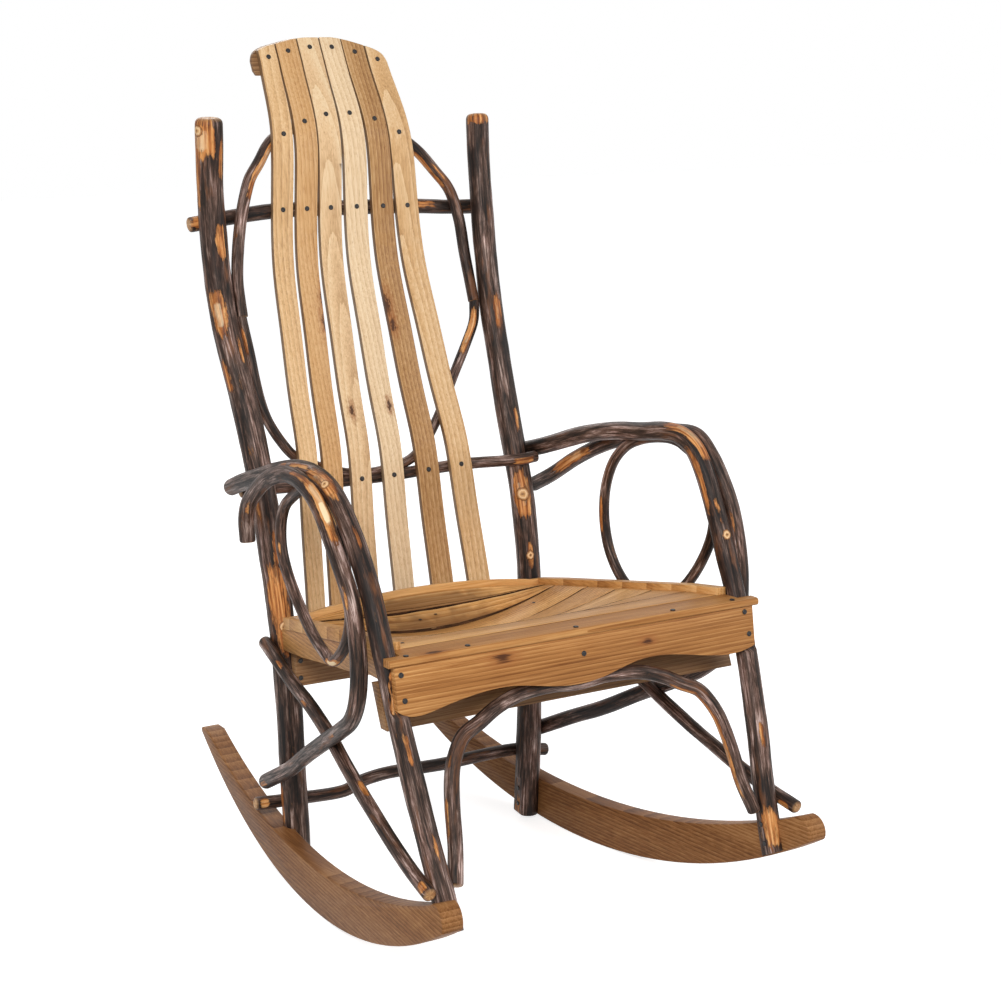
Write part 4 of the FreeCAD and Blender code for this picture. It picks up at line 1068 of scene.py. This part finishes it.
bark = bark_material()
domed = (stick_round, stick_round)
cut_ends = (cut_end_round, cut_end_round)
for side, name, seed in ((-1, "left", 1.0), (1, "right", 2.0)):
    stick("post_" + name, "rear_post_" + name,
          side_points(side, post_shares[side], lambda y, z: post_half(z)), post_dia,
          post_top_dia[side], seed + 0.1, (0.0, post_round), foot=True, trim=post_trim(side))
    stick("leg_arm_" + name, "front_leg_arm_" + name,
          side_points(side, leg_arm_shares[side], leg_half), leg_foot_dia,
          leg_arm_dia - seat_cut / 2, seed + 0.2, (0.0, stick_round), foot=True,
          trim=leg_trim(side))
    stick("outer_" + name, "outer_arm_" + name,
          side_points(side, outer_arm_shares[side], outer_half), outer_arm_dia - seat_cut / 4,
          outer_arm_dia - seat_cut / 4, seed + 0.3, domed, lumps=0.03)
    stick("loop_" + name, "arm_loop_" + name, loop_points(side), loop_dia, loop_dia, seed + 0.4,
          lumps=0.04)
    stick("brace_" + name, "side_brace_" + name,
          side_points(side, brace_shares, lambda y, z: brace_half(y)), brace_dia, brace_dia,
          seed + 0.5, domed)
stick("hoop_front", "front_hoop", hoop_points(), hoop_foot_dia, hoop_right_dia, 3.1, domed)
for name, node, shares, dia, seed in (
        ("rail_upper", "upper_back_rail", upper_rail_shares, upper_rail_dia, 3.2),
        ("rail_lower", "lower_back_rail", lower_rail_shares, lower_rail_dia, 3.3)):
    stick(name, node, cross_points(shares, dia), dia, dia, seed, domed)
for name, node, shares, dia, seed in (
        ("hoop_upper", "upper_back_hoop", upper_hoop_shares, upper_hoop_dia, 3.4),
        ("hoop_lower", "lower_back_hoop", lower_hoop_shares, lower_hoop_dia, 3.5)):
    points = [hoop_end(-1, dia)] + cross_points(shares, dia) + [hoop_end(1, dia)]
    stick(name, node, points, dia, dia, seed, cut_ends)
stick("stretcher", "rear_stretcher", stretcher_points(), stretcher_dia, stretcher_dia, 3.6,
      domed)

for index, tones in enumerate(slat_tones):
    number = str(index + 1)
    board("slat_" + number, "back_slat_" + number,
          board_material("slat_wood_" + number, *tones, "Z", "Y", index * 1.7 + 0.3, 0.02,
                         slat_knots[index], side_shade=0.25))
board("batten", "crest_batten", board_material("batten_wood", *under_tone, "X", "Y", 2.9))
board("apron", "front_apron",
      board_material("apron_wood", *russet, "X", "Y", 4.4, 0.02, apron_knots, shine=0.16))
board("nosing", "seat_nosing",
      board_material("nosing_wood", *russet, "X", "Z", 5.2, 0.03, nosing_knots, shine=0.10),
      nosing_soften)
board("inner_rail", "inner_front_rail", board_material("inner_wood", *under_tone, "X", "Y", 6.0))
board("rear_plank", "rear_board", board_material("rear_wood", *under_tone, "X", "Y", 6.6))
for side, seed in (("left", 7.1), ("right", 7.9)):
    board("rail_" + side, "side_rail_" + side,
          board_material("rail_wood_" + side, *amber, "Y", "X", seed))
    board("edge_" + side, "seat_edge_" + side,
          board_material("edge_wood_" + side, *honey, "Y", "Z", seed + 2), edge_soften)
    board("rocker_plank_" + side, "rocker_" + side,
          board_material("rocker_wood_" + side, *rocker_tone, "Y", "X", seed + 4, shine=0.10),
          rocker_soften)
board("edge_back", "seat_edge_rear", board_material("edge_wood_rear", *honey, "X", "Z", 9.3),
      rocker_soften)
for number in [str(index) for index in range(1, 8)]:
    board("seat_board_" + number, "seat_slat_" + number,
          board_material("seat_wood_" + number, *honey, "X", "Z", 10.0 + int(number) * 1.3, 0.02,
                         side_shade=0.35, shine=0.14), seat_soften)
shadow = seam_material()
for index, (share, half) in enumerate(zip(seat_joint_shares, seam_half)):
    seam(index + 1, at_length(share), half, shadow)
black = screw_material()
for index, (number, x, y) in enumerate(seat_nails):
    nail(index + 1, number, x, y, black)
for node in ("back_slat_screws", "seat_screws", "apron_screws", "rear_board_screws",
             "foot_screws"):
    for slot in frame["nodes"][node].material_slots:
        slot.material = black


# floor, light, camera
def shown_white(tree):
    """1 for rays that show the background: from the camera, mirrored or seen through glass."""
    path = tree.nodes.new("ShaderNodeLightPath")
    total = path.outputs["Is Camera Ray"]
    for name in ("Is Glossy Ray", "Is Transmission Ray"):
        add = tree.nodes.new("ShaderNodeMath")
        add.use_clamp = True
        tree.links.new(total, add.inputs[0])
        tree.links.new(path.outputs[name], add.inputs[1])
        total = add.outputs[0]
    return total


def floor():
    mesh = bpy.data.meshes.new("floor")
    mesh.from_pydata([(-floor_reach, -floor_reach, 0), (floor_reach, -floor_reach, 0),
                      (floor_reach, floor_reach, 0), (-floor_reach, floor_reach, 0)], [],
                     [(0, 1, 2, 3)])
    n = Nodes("floor_pale")
    n.shader.inputs["Base Color"].default_value = floor_tone
    n.shader.inputs["Roughness"].default_value = matt_rough
    n.shader.inputs["Specular IOR Level"].default_value = matt_shine
    glow = n.add("ShaderNodeEmission")
    n.link(n.math("MULTIPLY", shown_white(n.tree), floor_glow), glow.inputs["Strength"])
    both = n.add("ShaderNodeAddShader")
    n.link(n.shader.outputs[0], both.inputs[0])
    n.link(glow.outputs[0], both.inputs[1])
    n.link(both.outputs[0], n.out.inputs[0])
    piece = new_piece("floor", mesh, n.material)


def lamp(name, place, target, size, power, colour):
    data = bpy.data.lights.new(name, "AREA")
    data.shape = "SQUARE"
    data.size = size
    data.energy = power
    data.color = colour
    piece = bpy.data.objects.new(name, data)
    piece.location = place
    piece.rotation_euler = (Vector(target) - Vector(place)).to_track_quat("-Z", "Y").to_euler()
    bpy.context.scene.collection.objects.link(piece)


def world():
    scene = bpy.context.scene
    scene.world = bpy.data.worlds.new("studio")
    scene.world.use_nodes = True
    tree = scene.world.node_tree
    tree.nodes.clear()
    out = tree.nodes.new("ShaderNodeOutputWorld")
    white = tree.nodes.new("ShaderNodeBackground")
    soft = tree.nodes.new("ShaderNodeBackground")
    white.inputs[0].default_value = (1, 1, 1, 1)
    white.inputs[1].default_value = 1.0
    soft.inputs[0].default_value = sky_tone
    soft.inputs[1].default_value = sky_strength
    mix = tree.nodes.new("ShaderNodeMixShader")
    tree.links.new(shown_white(tree), mix.inputs[0])
    tree.links.new(soft.outputs[0], mix.inputs[1])
    tree.links.new(white.outputs[0], mix.inputs[2])
    tree.links.new(mix.outputs[0], out.inputs[0])


floor()
world()
for settings in lamps:
    lamp(*settings)

camera = bpy.data.cameras.new("camera")
camera.lens = camera_lens
camera.sensor_width = camera_sensor
camera.clip_end = camera_far
view = bpy.data.objects.new("camera", camera)
view.location = camera_place
view.rotation_euler = (math.pi / 2 - camera_down, 0, camera_aside)
bpy.context.scene.collection.objects.link(view)
bpy.context.scene.camera = view
bpy.context.scene.view_settings.view_transform = "Standard"
